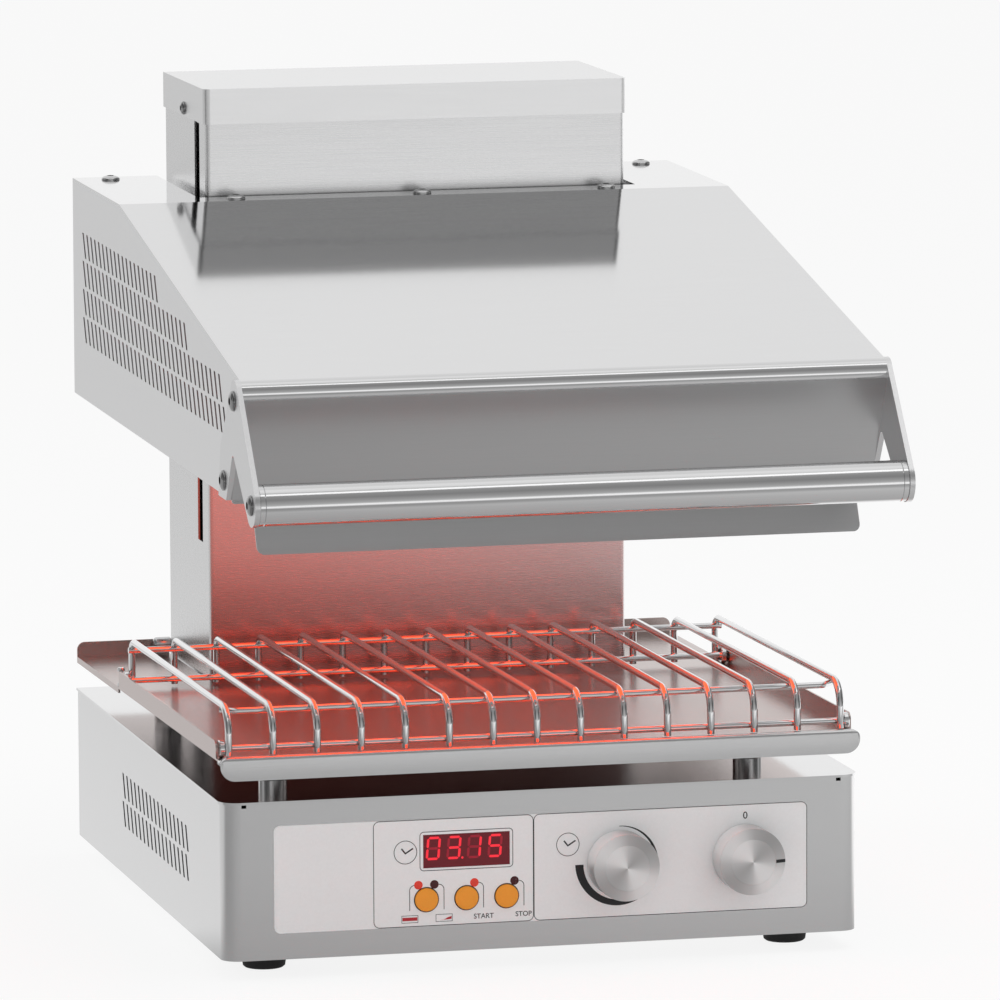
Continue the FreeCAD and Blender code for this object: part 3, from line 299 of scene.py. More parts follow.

# Painted heater glow on the column's front, in place of the heater's light: (height in metres, share of the
# losses, share of the glow colour).
# The losses dim the red, green and blue that the steel mirrors, as painted shade and red tint. The colour is
# what it gives off, as a painted emission
PAINTED_GLOW_STOPS = [(0.12, 0.95, 0.03), (0.155, 0.95, 0.06), (0.185, 0.9, 0.13), (0.215, 0.8, 0.24),
              (0.26, 0.8, 0.3), (0.34, 0, 0)]
warm_low = 0.1
warm_high = 0.5
painted_glow_losses = (0.45, 0.78, 0.8)
painted_glow_colour = (1, 0.17, 0.11)
warm_half_width = 0.14
warm_right_share = 0.45
facing_from = -0.5
facing_full = -0.9


def painted_glow_column():
    """Brushed steel whose front, more to the left, carries a painted red glow from the heater in front of it:
    painted shade and tint in its colour, and a painted emission.
    """
    made = steel("column_steel", 0.72, 0.27, "x", 0.04)
    tree = made.node_tree
    shader = tree.nodes["Principled BSDF"]
    at = axes(tree, coordinates(tree, "Object"))
    front = remap(tree, axes(tree, coordinates(tree, "Normal"))["Y"], facing_from, facing_full)
    leftward = remap(tree, at["X"], -warm_half_width, warm_half_width, 1.0, warm_right_share)
    share = calculate(tree, "MULTIPLY", front, leftward)
    height = remap(tree, at["Z"], warm_low, warm_high)
    tints = []
    glows = []
    for z, tint, glow in PAINTED_GLOW_STOPS:
        position = (z - warm_low) / (warm_high - warm_low)
        tints.append((position, tuple(1 - loss * tint for loss in painted_glow_losses)))
        glows.append((position, tuple(glow * c for c in painted_glow_colour)))
    # Painted heater glow: the colour is dimmed and reddened and the front gives off red light by height
    plain = shader.inputs["Base Color"].links[0].from_socket
    tinted = mix_colours(tree, "MULTIPLY", share, plain, ramp_through(tree, height, tints))
    tree.links.new(tinted, shader.inputs["Base Color"])
    tree.links.new(ramp_through(tree, height, glows), shader.inputs["Emission Color"])
    tree.links.new(share, shader.inputs["Emission Strength"])
    return made


own_finishes = {
    "column_shell": painted_glow_column(),
    # The drip tray's steel is a darker, red-brown copy of the tray steel: painted heater glow and painted
    # shade
    "drip_tray": add_grain(finish("tray_steel_painted_glow_and_shade", (0.5, 0.42, 0.4), 1.0, 0.24),
                           (long_grain, fine_grain, fine_grain), 0.05, 0.05, 0.05),
}
for part in frame["record"]["subparts"]:
    skin = frame["nodes"][part["node"]].data
    skin.materials.clear()
    skin.materials.append(own_finishes.get(part["node"]) or finishes[part["material_slot"]])


# Mesh building
def finish_piece(name, mesh, chosen, body, sharp=35):
    """Puts a mesh into the scene, shades it, and makes it ride on a body."""
    mesh.shade_smooth()
    mesh.set_sharp_from_angle(angle=math.radians(sharp))
    piece = bpy.data.objects.new(name, mesh)
    bpy.context.scene.collection.objects.link(piece)
    mesh.materials.append(chosen)
    if body:
        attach(piece, body)
    return piece


def skin_rings(shape, rings):
    """Adds a closed tube of quads through rings that have the same number of points."""
    loops = [[shape.verts.new(point) for point in ring] for ring in rings]
    for near, far in zip(loops, loops[1:]):
        for i in range(len(near)):
            j = (i + 1) % len(near)
            shape.faces.new((near[i], near[j], far[j], far[i]))
    shape.faces.new(loops[0][::-1])
    shape.faces.new(loops[-1])


def to_mesh(name, shape):
    bmesh.ops.recalc_face_normals(shape, faces=shape.faces)
    mesh = bpy.data.meshes.new(name)
    shape.to_mesh(mesh)
    shape.free()
    return mesh


def face_forward(name, shape):
    """A mesh of flat faces that all look to the front."""
    for face in shape.faces:
        face.normal_update()
        if face.normal.y > 0:
            face.normal_flip()
    mesh = bpy.data.meshes.new(name)
    shape.to_mesh(mesh)
    shape.free()
    return mesh


def across(direction):
    """Two unit directions square to one another and to the given one."""
    first = (RIGHT if abs(direction.x) < 0.5 else REAR).cross(direction).normalized()
    return first, direction.cross(first)


def ring(centre, direction, radius, count, corners=0):
    """A circle, or a many-cornered outline with the same number of points as a circle would have."""
    first, second = across(direction)
    points = []
    for i in range(count):
        angle = i * 2 * math.pi / count
        reach = radius
        if corners:
            step = 2 * math.pi / corners
            reach = radius / math.cos((angle % step) - step / 2)
        points.append(centre + first * (reach * math.cos(angle)) + second * (reach * math.sin(angle)))
    return points


def lathe(shape, start, direction, profile, count=48, lean_by=None):
    """Adds a turned form: the profile lists (radius, height) in millimetres from its base to its top."""
    rings = [ring(start + direction * (height * MM), direction, radius * MM, count)
             for radius, height in profile]
    if lean_by:
        rings = [[lean_by @ point for point in points] for points in rings]
    skin_rings(shape, rings)


def tube(shape, path, radius, count=14, lean_by=None):
    """Adds a round wire along a path of points."""
    headings = [(b - a).normalized() for a, b in zip(path, path[1:])]
    first = across(headings[0])[0]
    rings = []
    for i, point in enumerate(path):
        heading = (headings[max(0, i - 1)] + headings[min(i, len(headings) - 1)]).normalized()
        first = (first - heading * first.dot(heading)).normalized()
        second = heading.cross(first)
        points = []
        for k in range(count):
            angle = k * 2 * math.pi / count
            points.append(point + (first * math.cos(angle) + second * math.sin(angle)) * radius)
        rings.append([lean_by @ p for p in points] if lean_by else points)
    skin_rings(shape, rings)


def rounded_path(corners, radii, steps=8):
    """Points along a path whose inner corners are rounded."""
    points = [corners[0]]
    for i, radius in enumerate(radii, start=1):
        back = (corners[i - 1] - corners[i]).normalized()
        ahead = (corners[i + 1] - corners[i]).normalized()
        half = back.angle(ahead) / 2
        centre = corners[i] + (back + ahead).normalized() * (radius / math.sin(half))
        start = corners[i] + back * (radius / math.tan(half)) - centre
        turn = math.pi - 2 * half
        axis = start.cross(corners[i] + ahead * (radius / math.tan(half)) - centre).normalized()
        for step in range(steps + 1):
            points.append(centre + Matrix.Rotation(turn * step / steps, 3, axis) @ start)
    points.append(corners[-1])
    return points


def make_turned(name, node, body, slot, turnings, lean_by=None, count=48, sharp=35):
    """Turned forms in one piece, each from (start, direction, profile), in the place of a CAD node."""
    shape = bmesh.new()
    for start, direction, profile in turnings:
        lathe(shape, start, direction, profile, count, lean_by)
    piece = finish_piece(name, to_mesh(name, shape), finishes[slot], body, sharp)
    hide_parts(node)


# Wire rack
wire_radius = 2.25
cross_radius = 2
hoop_half_width = 192.7
hoop_count = 15
rack_front_y = 15.5
rack_rear_y = 310
rack_top_z = 160.8
rack_foot_z = 132.2
rack_low_z = 136.05
front_bend = 16
rear_bend = 9
weld_offset = 3.85
upper_front_y = 31
upper_rear_drop = 5.4
curl = 7
curl_bend = 5
wire_end = 3
disc_radius = 5.4
disc_thickness = 3.5
disc_edge = 0.6


def make_rack():
    shape = bmesh.new()
    for i in range(hoop_count):
        x = -hoop_half_width + i * 2 * hoop_half_width / (hoop_count - 1)
        corners = [place(x, rack_front_y, rack_foot_z), place(x, rack_front_y, rack_top_z),
                   place(x, rack_rear_y, rack_top_z), place(x, rack_rear_y, rack_foot_z)]
        path = rounded_path(corners, [front_bend * MM, rear_bend * MM])
        tube(shape, path, wire_radius * MM, lean_by=on_tray)
    low_half = hoop_half_width + wire_radius
    rear_half = hoop_half_width + wire_end
    for half, y, z in (
        (low_half, rack_front_y + weld_offset, rack_low_z),
        (low_half, rack_rear_y - weld_offset, rack_low_z),
        (rear_half, rack_rear_y - weld_offset, rack_top_z - upper_rear_drop),
    ):
        tube(shape, [place(-half, y, z), place(half, y, z)], cross_radius * MM, lean_by=on_tray)
    z = rack_top_z - weld_offset
    turn_x = hoop_half_width - curl
    corners = [place(-hoop_half_width, upper_front_y + curl, z), place(-turn_x, upper_front_y, z),
               place(turn_x, upper_front_y, z), place(hoop_half_width, upper_front_y + curl, z)]
    tube(shape, rounded_path(corners, [curl_bend * MM] * 2), cross_radius * MM, lean_by=on_tray)
    mesh = to_mesh("rack_wires", shape)
    piece = finish_piece("rack_wires", mesh, finishes["rack_chrome"], "rack", 50)
    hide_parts("wire_rack")


def make_rack_feet():
    profile = [(disc_radius - disc_edge, 0), (disc_radius, disc_edge),
               (disc_radius, disc_thickness - disc_edge), (disc_radius - disc_edge, disc_thickness)]
    x = hoop_half_width + wire_radius
    discs = [(place(side * x, y, rack_low_z), RIGHT * side, profile)
             for y in (rack_front_y + weld_offset, rack_rear_y - weld_offset) for side in (-1, 1)]
    make_turned("rack_feet", "rack_discs", "rack", "rack_chrome", discs, on_tray, 32)


# Raised front lip of the tray, a bent strip that carries on from the tray's floor
lip_half = 201
lip_depth = 10
lip_rise = 2.6
lip_drop = 12
lip_bend = 2.4
lip_top_radius = 5
lip_low_radius = 9
lip_sheet = 1
lip_bend_steps = 6
lip_corner_steps = 10


def quarter(steps):
    """Angles from nought to a right angle."""
    return [math.pi / 2 * i / steps for i in range(steps + 1)]


def make_tray_lip():
    low, high = tray_top_z - lip_drop, tray_top_z + lip_rise
    bend = [(lip_bend * (1 - math.cos(a)), high - lip_bend * (1 - math.sin(a)))
            for a in quarter(lip_bend_steps)[::-1]]
    outer = [(lip_depth, tray_top_z), (lip_depth - lip_rise, tray_top_z), (lip_depth - 2 * lip_rise, high)]
    outer += bend
    inner = [(y + lip_sheet if z < high - lip_sheet else y, z - lip_sheet) for y, z in outer]
    section = outer + [(0, low), (lip_sheet, low)] + inner[::-1]
    insets = [lip_low_radius * (1 - math.cos(a)) for a in quarter(lip_corner_steps)]
    shape = bmesh.new()
    rings = []
    for side, steps in ((-1, insets), (1, insets[::-1])):
        for inset in steps:
            floor_z = low + lip_low_radius - math.sqrt(lip_low_radius ** 2 - (lip_low_radius - inset) ** 2)
            near = max(0, lip_top_radius - inset)
            roof_z = high - lip_top_radius + math.sqrt(lip_top_radius ** 2 - near ** 2)
            rings.append([on_tray @ place(side * (lip_half - inset), y, min(max(z, floor_z), roof_z))
                          for y, z in section])
    skin_rings(shape, rings)
    finish_piece("tray_lip", to_mesh("tray_lip", shape), finishes["tray_steel"], "base", 40)


# Screw and bolt heads, each (radius, height), and their seats
hood_screw_head = (6, 2.6)
hood_screw_seats = ((-177.5, 440), (177.5, 440), (-121.5, 314), (0, 314), (121.5, 314))
bracket_bolt_head = (6.25, 2.4)
bracket_bolt_x = 202.7
bracket_bolt_seats = ((-53, 366.4), (-24, 314.6), (-101, 310.4))
cap_screw_head = (4.3, 2.2)
cap_screw_seat = (138.9, 390, 494.8)
# Shares of a head's height: where its foot ends, its rim, and its socket's depth
foot_end_share = 0.1
rim_share = 0.15
socket_depth_share = 0.8
# Shares of a head's radius: its foot and its socket
foot_share = 0.97
socket_share = 0.3612
dome_angle = math.radians(62)
dome_steps = 6


def screw(shape, seat, direction, radius, height, lean_by):
    """A domed head with a hexagon socket."""
    count = 48
    rim = height * rim_share
    dome = [(radius * foot_share, 0), (radius, height * foot_end_share), (radius, rim)]
    for i in range(1, dome_steps + 1):
        angle = dome_angle * i / dome_steps
        dome.append((radius * math.cos(angle), rim + (height - rim) * math.sin(angle) / math.sin(dome_angle)))
    rings = [ring(seat + direction * (h * MM), direction, r * MM, count) for r, h in dome]
    for depth in (0, socket_depth_share):
        centre = seat + direction * (height * (1 - depth) * MM)
        rings.append(ring(centre, direction, radius * socket_share * MM, count, 6))
    if lean_by:
        rings = [[lean_by @ point for point in points] for points in rings]
    skin_rings(shape, rings)


def make_screws(name, node, body, slot, seats, head, lean_by=None):
    shape = bmesh.new()
    for seat, direction in seats:
        screw(shape, seat, direction, *head, lean_by)
    piece = finish_piece(name, to_mesh(name, shape), finishes[slot], body)
    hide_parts(node)


def make_all_screws():
    top = [(place(x, y, hood_top_z), UP) for x, y in hood_screw_seats]
    make_screws("hood_screw_heads", "hood_screws", "hood", "screw_steel", top, hood_screw_head, on_hood)
    bolts = [(place(side * bracket_bolt_x, y, z), RIGHT * side)
             for side in (-1, 1) for y, z in bracket_bolt_seats]
    make_screws("bracket_bolt_heads", "bracket_bolts", "hood", "bolt_steel", bolts, bracket_bolt_head,
                on_hood)
    x, y, z = cap_screw_seat
    cap = [(place(side * x, y, z), RIGHT * side) for side in (-1, 1)]
    make_screws("cap_screw_heads", "cap_screws", "base", "bolt_steel", cap, cap_screw_head)


# Feet, posts, handle, rods, studs and pins: their places and profiles of (radius, height)
foot_x = 165.4
foot_ys = (46, 408)
foot_profile = [(11.8, 0), (13, 1), (14.3, 9.5), (14.5, 11.2), (14.5, 12.4)]
deck_top_z = 110
post_x = 151.2
front_post_y = 82
rear_post_y = 400
rear_post_drop = 3.33
post_radius = 8.85
post_edge_radius = 8.5
post_edge_height = 0.4
handle_start = (-199.5, -101, 310.4)
handle_profile = [(12.1, 0), (12.5, 0.4), (12.5, 3.2), (12.2, 3.5), (12.5, 3.8), (12.5, 395.2), (12.2, 395.5),
                  (12.5, 395.8), (12.5, 398.6), (12.1, 399)]
rod_x = 122
rod_y = 356
rod_low_z = 120
rod_profile = [(5, 0), (5, 368)]
stud_seat = (137.6, 447, 138)
stud_profile = [(3.6, 0), (3.6, 2), (4.3, 2.4), (4.3, 11.4), (3.9, 12.4), (3, 13.1), (1.5, 13.4)]
pin_seat = (197.8, 320, 130.6)
pin_profile = [(2.5, 0), (2.5, 2.2), (1.25, 2.4), (1.25, 9.6), (2.5, 9.8), (2.5, 11.2), (1.9, 12)]


def make_turned_pieces():
    feet = [(place(x, y, 0), UP, foot_profile) for x in (-foot_x, foot_x) for y in foot_ys]
    make_turned("round_feet", "rubber_feet", "base", "foot_rubber", feet)
    low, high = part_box("tray_posts")
    height = (high.z - low.z) / MM
    posts = []
    for y, reach in ((front_post_y, height), (rear_post_y, height - rear_post_drop)):
        profile = [(post_edge_radius, 0), (post_radius, post_edge_height),
                   (post_radius, reach - post_edge_height), (post_edge_radius, reach)]
        posts += [(place(x, y, deck_top_z), UP, profile) for x in (-post_x, post_x)]
    make_turned("round_posts", "tray_posts", "base", "turned_steel", posts)
    handle = [(place(*handle_start), RIGHT, handle_profile)]
    make_turned("handle_bar", "handle_tube", "hood", "polished_steel", handle, on_hood, 96)
    rods = [(place(x, rod_y, rod_low_z), UP, rod_profile) for x in (-rod_x, rod_x)]
    make_turned("round_rods", "guide_rods", "base", "turned_steel", rods)
    x, y, z = stud_seat
    studs = [(place(side * x, y, z), RIGHT * side, stud_profile) for side in (-1, 1)]
    make_turned("round_studs", "column_studs", "base", "screw_steel", studs, count=40)
    x, y, z = pin_seat
    pins = [(place(side * x, y, z), UP, pin_profile) for side in (-1, 1)]
    make_turned("round_pins", "tray_side_pins", "base", "screw_steel", pins, on_tray, 24)


# Upright runs of the hoisting cables between the pulleys and what hangs on them; the real runs shorten and
# lengthen, these are fixed tubes
cable_x = 60
cable_radius = 1
cable_steps = 12


def make_cables(name, node):
    low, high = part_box(node)
    y = (low.y + high.y) / 2
    heights = [low.z + (high.z - low.z) * i / cable_steps for i in range(cable_steps + 1)]
    shape = bmesh.new()
    for side in (-1, 1):
        tube(shape, [Vector((side * cable_x * MM, y, z)) for z in heights], cable_radius * MM, 12)
    piece = finish_piece(name, to_mesh(name, shape), finishes["cable_steel"], None)
    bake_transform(piece)
    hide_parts(node)


# Knobs, buttons and lamps of the control panel
knob_z = 62
timer_x = 47.6
power_x = 127.2
knob_radius = 20.7
knob_face_radius = 14
knob_edge = 0.5
knob_cone_depth = 2
knob_ring_count = 7
knob_face_sink = 0.12
pointer_half = 1.0
pointer_lift = 0.1
button_xs = (-73.9, -48.7, -23.6)
button_z = 45.1
button_radius = 7.15
button_back_y = 0.2
# How the caps round off, each (inward from the rim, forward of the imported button's front)
button_rounding = ((0, -0.5), (0.15, -0.1), (0.5, 0.15), (button_radius / 2, 0.2))
led_z = 54.3
led_radius = 2.7
led_height = 0.4
led_angles = (0, 20, 40, 60, 80)
lit_led_xs = (-78.9, -43.8)
dark_led_xs = (-68.9, -18.6)
# The knobs' turned rings, and the painted fans of light on them, painted highlights and grey in the base
# colour, with stops of (nearness to a fan, level)
ring_grain = 2600.0
ring_roughness = (0.3, 0.46)
ring_bump = 0.08
painted_sheen_turn = 1.6
PAINTED_SHEEN_STOPS = [(0, 0.5), (0.45, 0.66), (0.8, 0.92), (1, 1)]


def make_knob(name, node, body, x):
    """A spun knob: a plain skirt, a shallow cone and a flat face with fine rings."""
    low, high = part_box(node)
    depth = (high.y - low.y) / MM
    skirt = depth - knob_cone_depth
    profile = [(knob_radius - knob_edge, 0), (knob_radius, knob_edge), (knob_radius, skirt - 0.2),
               (knob_radius - 0.15, skirt), (knob_face_radius + 0.1, depth),
               (knob_face_radius - 0.2, depth - knob_face_sink)]
    for i in range(knob_ring_count - 1, 0, -1):
        profile.append((knob_face_radius * i / knob_ring_count, depth - knob_face_sink))
    shape = bmesh.new()
    lathe(shape, Vector((0, high.y, 0)), FRONT, profile, 96)
    piece = finish_piece(name, to_mesh(name, shape), finishes["knob_metal"], body, 4)
    piece.location = Vector((x * MM, 0, knob_z * MM))
    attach(piece, body)
    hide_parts(node)


def spin_rings_and_painted_sheen():
    """Fine turned rings: anisotropic shine round the knob's axis, with two bright and two grey fans painted
    into the base colour as painted highlights.
    """
    tree = finishes["knob_metal"].node_tree
    shader = tree.nodes["Principled BSDF"]
    shader.inputs["Anisotropic"].default_value = 0.9
    tangent = tree.nodes.new("ShaderNodeTangent")
    tangent.direction_type = "RADIAL"
    tangent.axis = "Y"
    tree.links.new(tangent.outputs["Tangent"], shader.inputs["Tangent"])
    at = axes(tree, coordinates(tree, "Object"))
    flat = new_node(tree, "ShaderNodeCombineXYZ", X=at["X"], Y=at["Z"])
    reach = tree.nodes.new("ShaderNodeVectorMath")
    reach.operation = "LENGTH"
    tree.links.new(flat.outputs["Vector"], reach.inputs[0])
    rings = new_node(tree, "ShaderNodeTexNoise", Scale=ring_grain, Detail=2.0)
    rings.noise_dimensions = "1D"
    tree.links.new(reach.outputs["Value"], rings.inputs["W"])
    tree.links.new(remap(tree, rings.outputs["Fac"], 0, 1, *ring_roughness), shader.inputs["Roughness"])
    add_bump(tree, rings.outputs["Fac"], ring_bump)
    # Painted sheen: the base colour is lighter in two fans and greyer in two, by angle round the knob's axis
    twice = calculate(tree, "MULTIPLY_ADD", calculate(tree, "ARCTAN2", at["Z"], at["X"]), 2, painted_sheen_turn)
    level = remap(tree, calculate(tree, "COSINE", twice), -1, 1)
    tree.links.new(ramp_through(tree, level, PAINTED_SHEEN_STOPS), shader.inputs["Base Color"])


def make_pointer():
    """The black mark across the cone of the right knob, at three o'clock when it is at rest."""
    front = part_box("power_knob")[0].y
    inner = (power_x + knob_face_radius + 0.4, front - pointer_lift * MM)
    outer = (power_x + knob_radius - 0.1, front + (knob_cone_depth - pointer_lift) * MM)
    shape = bmesh.new()
    corners = [Vector((x * MM, y, (knob_z + side * pointer_half) * MM)) for (x, y), side in
               ((inner, -1), (outer, -1), (outer, 1), (inner, 1))]
    shape.faces.new([shape.verts.new(c) for c in corners])
    finish_piece("knob_pointer", face_forward("knob_pointer", shape), ink, "power")


def make_buttons():
    for x, node, body in zip(button_xs, ("button_left", "button_start", "button_stop"),
                             ("left_button", "start_button", "stop_button")):
        front = (panel_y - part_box(node)[0].y) / MM
        profile = [(button_radius, 0)]
        profile += [(button_radius - inward, front + forward) for inward, forward in button_rounding]
        cap = [(place(x, button_back_y, button_z), FRONT, profile)]
        make_turned(body + "_cap", node, body, "button_orange", cap, count=64, sharp=50)


def make_led(name, node, slot, xs):
    profile = [(led_radius * math.cos(math.radians(a)), led_height * math.sin(math.radians(a)))
               for a in led_angles]
    lenses = [(Vector((x * MM, label_y, led_z * MM)), FRONT, profile) for x in xs]
    make_turned(name, node, "base", slot, lenses, count=32, sharp=80)


# Printing on the label
print_height = 0.06
line_width = 0.42
mitre_limit = 0.3
left_panel_xs = (-106.8, -6.7)
right_panel_x = -6.3
panel_inset = 0.3
panel_corner = 3.6
display_frame = (-77.8, -19.6, 63.0, 86.9)
display_corner = 2.4
clock_signs = ((-86.9, 74.9), (15.1, 75))
clock_radius = 7.1
clock_hands = (((-2.5, 2.4), (0, -0.8)), ((-0.3, -0.9), (4.8, 2.3)))
clock_hand_width = 0.9
# Lines from the small signs up to the lamps, each (where it rises, where it ends)
leaders = ((-84.4, -78.8), (-62.9, -69.0), (-38.1, -43.7), (-12.7, -18.5))
leader_bend = 3.2
leader_low_z = 38.6
leader_gap = 2.4
button_ring_gap = 0.45
button_ring_width = 0.5
bar_signs = ((-89.4, -79.3), (-68.0, -57.8))
bar_line_width = 0.3
bar_low_z = 31.2
bar_high_z = 35.6
full_bar = [(-89.0, 32.4), (-79.7, 32.4), (-79.7, 34.5), (-89.0, 34.5)]
rising_bar = [(-66.0, 31.9), (-60.8, 32.3), (-58.2, 32.5), (-58.2, 34.3), (-60.8, 33.5), (-62.8, 32.3)]
# The wedge round the left knob, which widens clockwise from the top
wedge_gap = 2
wedge_start_width = 0.35
wedge_growth = 4.9
wedge_turn = 270
wedge_steps = 54
words = (("word_start", "START", 4.3, -38.05, 33.2), ("word_stop", "STOP", 4.3, -13, 33.4),
         ("zero_mark", "0", 6.2, 127.5, 87.7))
word_thickness = 0.04


def on_label(x, z, lift=print_height):
    """A point just in front of the label. Z is up from the feet, as everywhere."""
    return Vector((x * MM, label_y - lift * MM, z * MM))


def flat_piece(name, outlines, chosen, lift=print_height):
    """Flat printed areas, each from an outline of (x, z) in millimetres."""
    shape = bmesh.new()
    for outline in outlines:
        shape.faces.new([shape.verts.new(on_label(x, z, lift)) for x, z in outline])
    finish_piece(name, face_forward(name, shape), chosen, "base")


def stroke(points, width=line_width, closed=False):
    """Outlines of the straight runs of a line, mitred at its corners."""
    count = len(points)
    half = width / 2
    sides = []
    for i, (x, z) in enumerate(points):
        before = points[i - 1] if (closed or i > 0) else None
        after = points[(i + 1) % count] if (closed or i < count - 1) else None
        headings = []
        if before:
            headings.append(Vector((x - before[0], z - before[1])).normalized())
        if after:
            headings.append(Vector((after[0] - x, after[1] - z)).normalized())
        heading = sum(headings, Vector((0, 0))).normalized()
        normal = Vector((-heading.y, heading.x))
        reach = half / max(mitre_limit, heading.dot(headings[0]))
        sides.append(((x + normal.x * reach, z + normal.y * reach),
                      (x - normal.x * reach, z - normal.y * reach)))
    runs = []
    for i in range(count if closed else count - 1):
        a, b = sides[i], sides[(i + 1) % count]
        runs.append([a[0], a[1], b[1], b[0]])
    return runs


def arc(cx, cz, radius, start, end, count):
    """Points of an arc; angles in degrees, counter-clockwise from the right."""
    points = []
    for i in range(count + 1):
        angle = math.radians(start + (end - start) * i / count)
        points.append((cx + radius * math.cos(angle), cz + radius * math.sin(angle)))
    return points


def rounded_box(x0, x1, z0, z1, radius, count=8):
    corners = ((x1 - radius, z1 - radius), (x0 + radius, z1 - radius), (x0 + radius, z0 + radius),
               (x1 - radius, z0 + radius))
    points = []
    for i, (cx, cz) in enumerate(corners):
        points += arc(cx, cz, radius, 90 * i, 90 * (i + 1), count)
    return points


def circle_line(cx, cz, radius, width=line_width):
    return stroke(arc(cx, cz, radius, 0, 360, 48)[:-1], width, True)


def make_print():
    low, high = [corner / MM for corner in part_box("control_label")]
    lines = []
    z0, z1 = low.z + panel_inset, high.z - panel_inset
    for x0, x1 in (left_panel_xs, (right_panel_x, high.x - panel_inset)):
        lines += stroke(rounded_box(x0, x1, z0, z1, panel_corner), closed=True)
    lines += stroke(rounded_box(*display_frame, display_corner), closed=True)
    for cx, cz in clock_signs:
        lines += circle_line(cx, cz, clock_radius)
        for hand in clock_hands:
            lines += stroke([(cx + x, cz + z) for x, z in hand], clock_hand_width)
    for rise, end in leaders:
        side = 1 if end > rise else -1
        first = 180 if side > 0 else 0
        corner = arc(rise + side * leader_bend, led_z - leader_bend, leader_bend, first, 90, 6)
        lines += stroke([(rise, leader_low_z)] + corner + [(end - side * leader_gap, led_z)])
    for x in button_xs:
        lines += circle_line(x, button_z, button_radius + button_ring_gap, button_ring_width)
    for x0, x1 in bar_signs:
        box = [(x0, bar_low_z), (x1, bar_low_z), (x1, bar_high_z), (x0, bar_high_z)]
        lines += stroke(box, bar_line_width, True)
    flat_piece("print_lines", lines, ink)
    flat_piece("print_red", [full_bar, rising_bar], red_ink)
    inner_reach = knob_radius + wedge_gap
    outer = []
    inner = []
    for i in range(wedge_steps + 1):
        share = i / wedge_steps
        angle = math.radians(90 - wedge_turn * share)
        reach = inner_reach + wedge_start_width + wedge_growth * share
        outer.append((timer_x + reach * math.cos(angle), knob_z + reach * math.sin(angle)))
        inner.append((timer_x + inner_reach * math.cos(angle), knob_z + inner_reach * math.sin(angle)))
    wedge = [[inner[i], outer[i], outer[i + 1], inner[i + 1]] for i in range(wedge_steps)]
    flat_piece("print_wedge", wedge, ink)


def make_words():
    for name, written, size, x, z in words:
        text = bpy.data.curves.new(name, "FONT")
        text.body = written
        text.size = size * MM
        text.align_x = "CENTER"
        text.align_y = "CENTER"
        text.offset = word_thickness * MM
        text.materials.append(ink)
        piece = bpy.data.objects.new(name, text)
        bpy.context.scene.collection.objects.link(piece)
        piece.location = on_label(x, z)
        piece.rotation_euler = (math.pi / 2, 0, 0)
        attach(piece, "base")


# Seven-segment display
digit_height = 12.9
digit_width = 7.2
digit_slant = 0.085
segment_width = 1.5
segment_gap = 0.25
segment_lift = 0.08
digit_xs = (-69.3, -56.4, -43.6, -30.6)
digit_z = 76.5
digits_shown = "0315"
dot_x = 5.2
dot_radius = 0.75
segments_on = {"0": "abcdef", "3": "abcdg", "1": "bc", "5": "acdfg"}


def segment(letter, cx):
    """Outline of one segment of a digit."""
    w, h, t = digit_width / 2, digit_height / 2, segment_width / 2
    gap = segment_gap
    ends = {
        "a": ((-w, h), (w, h)), "d": ((-w, -h), (w, -h)), "g": ((-w, 0), (w, 0)),
        "f": ((-w, 0), (-w, h)), "b": ((w, 0), (w, h)), "e": ((-w, -h), (-w, 0)), "c": ((w, -h), (w, 0)),
    }[letter]
    (x0, z0), (x1, z1) = ends
    if z0 == z1:
        points = [(x0 + gap, z0), (x0 + gap + t, z0 + t), (x1 - gap - t, z0 + t), (x1 - gap, z0),
                  (x1 - gap - t, z0 - t), (x0 + gap + t, z0 - t)]
    else:
        points = [(x0, z0 + gap), (x0 + t, z0 + gap + t), (x0 + t, z1 - gap - t), (x0, z1 - gap),
                  (x0 - t, z1 - gap - t), (x0 - t, z0 + gap + t)]
    return [(cx + x + z * digit_slant, digit_z + z) for x, z in points]


def make_digits():
    lift = (label_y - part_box("display_window")[0].y) / MM + segment_lift
    bright = []
    dark = []
    for cx, shown in zip(digit_xs, digits_shown):
        for letter in "abcdefg":
            (bright if letter in segments_on[shown] else dark).append(segment(letter, cx))
    bright.append(arc(digit_xs[1] + dot_x, digit_z - digit_height / 2, dot_radius, 0, 360, 12)[:-1])
    flat_piece("digits_lit", bright, bright_segment, lift)
    flat_piece("digits_unlit", dark, dark_segment, lift)


# Studio, as metal mirrors it, in stops of (position, level). A position is the share of the turn from the
# front over the top to the back for the world, the distance in front of the part over floor_reach for the
# floor, and how far a direction points sideways for the dark screens to the left and the right
WORLD_STOPS = [(0, 0.75), (0.03, 0.5), (0.08, 0.42), (0.18, 0.28), (0.28, 0.34), (0.38, 0.5),
               (0.44, 0.9), (0.52, 1), (0.58, 0.82), (0.75, 0.9), (1, 1)]
# The floor's stops are painted shade on the floor, seen only by mirrored rays
FLOOR_PAINTED_SHADE_STOPS = [(0, 1), (0.04, 0.42), (0.18, 0.55), (0.25, 0.35), (0.4, 0.3), (0.5, 0.95), (1, 1)]
SIDE_STOPS = [(0, 1), (0.5, 1), (0.66, 0.3), (0.9, 0.22), (1, 0.6)]
white = (1, 1, 1, 1)
sky_level = 0.62
floor_half = 12
floor_reach = 4.0
floor_seen_share = 0.86
floor_mirrored_share = 0.9
floor_side = 0.6
# Painted light and shade across the floor from left to right, seen only by mirrored rays
floor_painted_side_levels = (0.7, 1.25)
lamp_target = (0, 0, 0.25)
lamp_size = 1.6
strip_height = 0.35


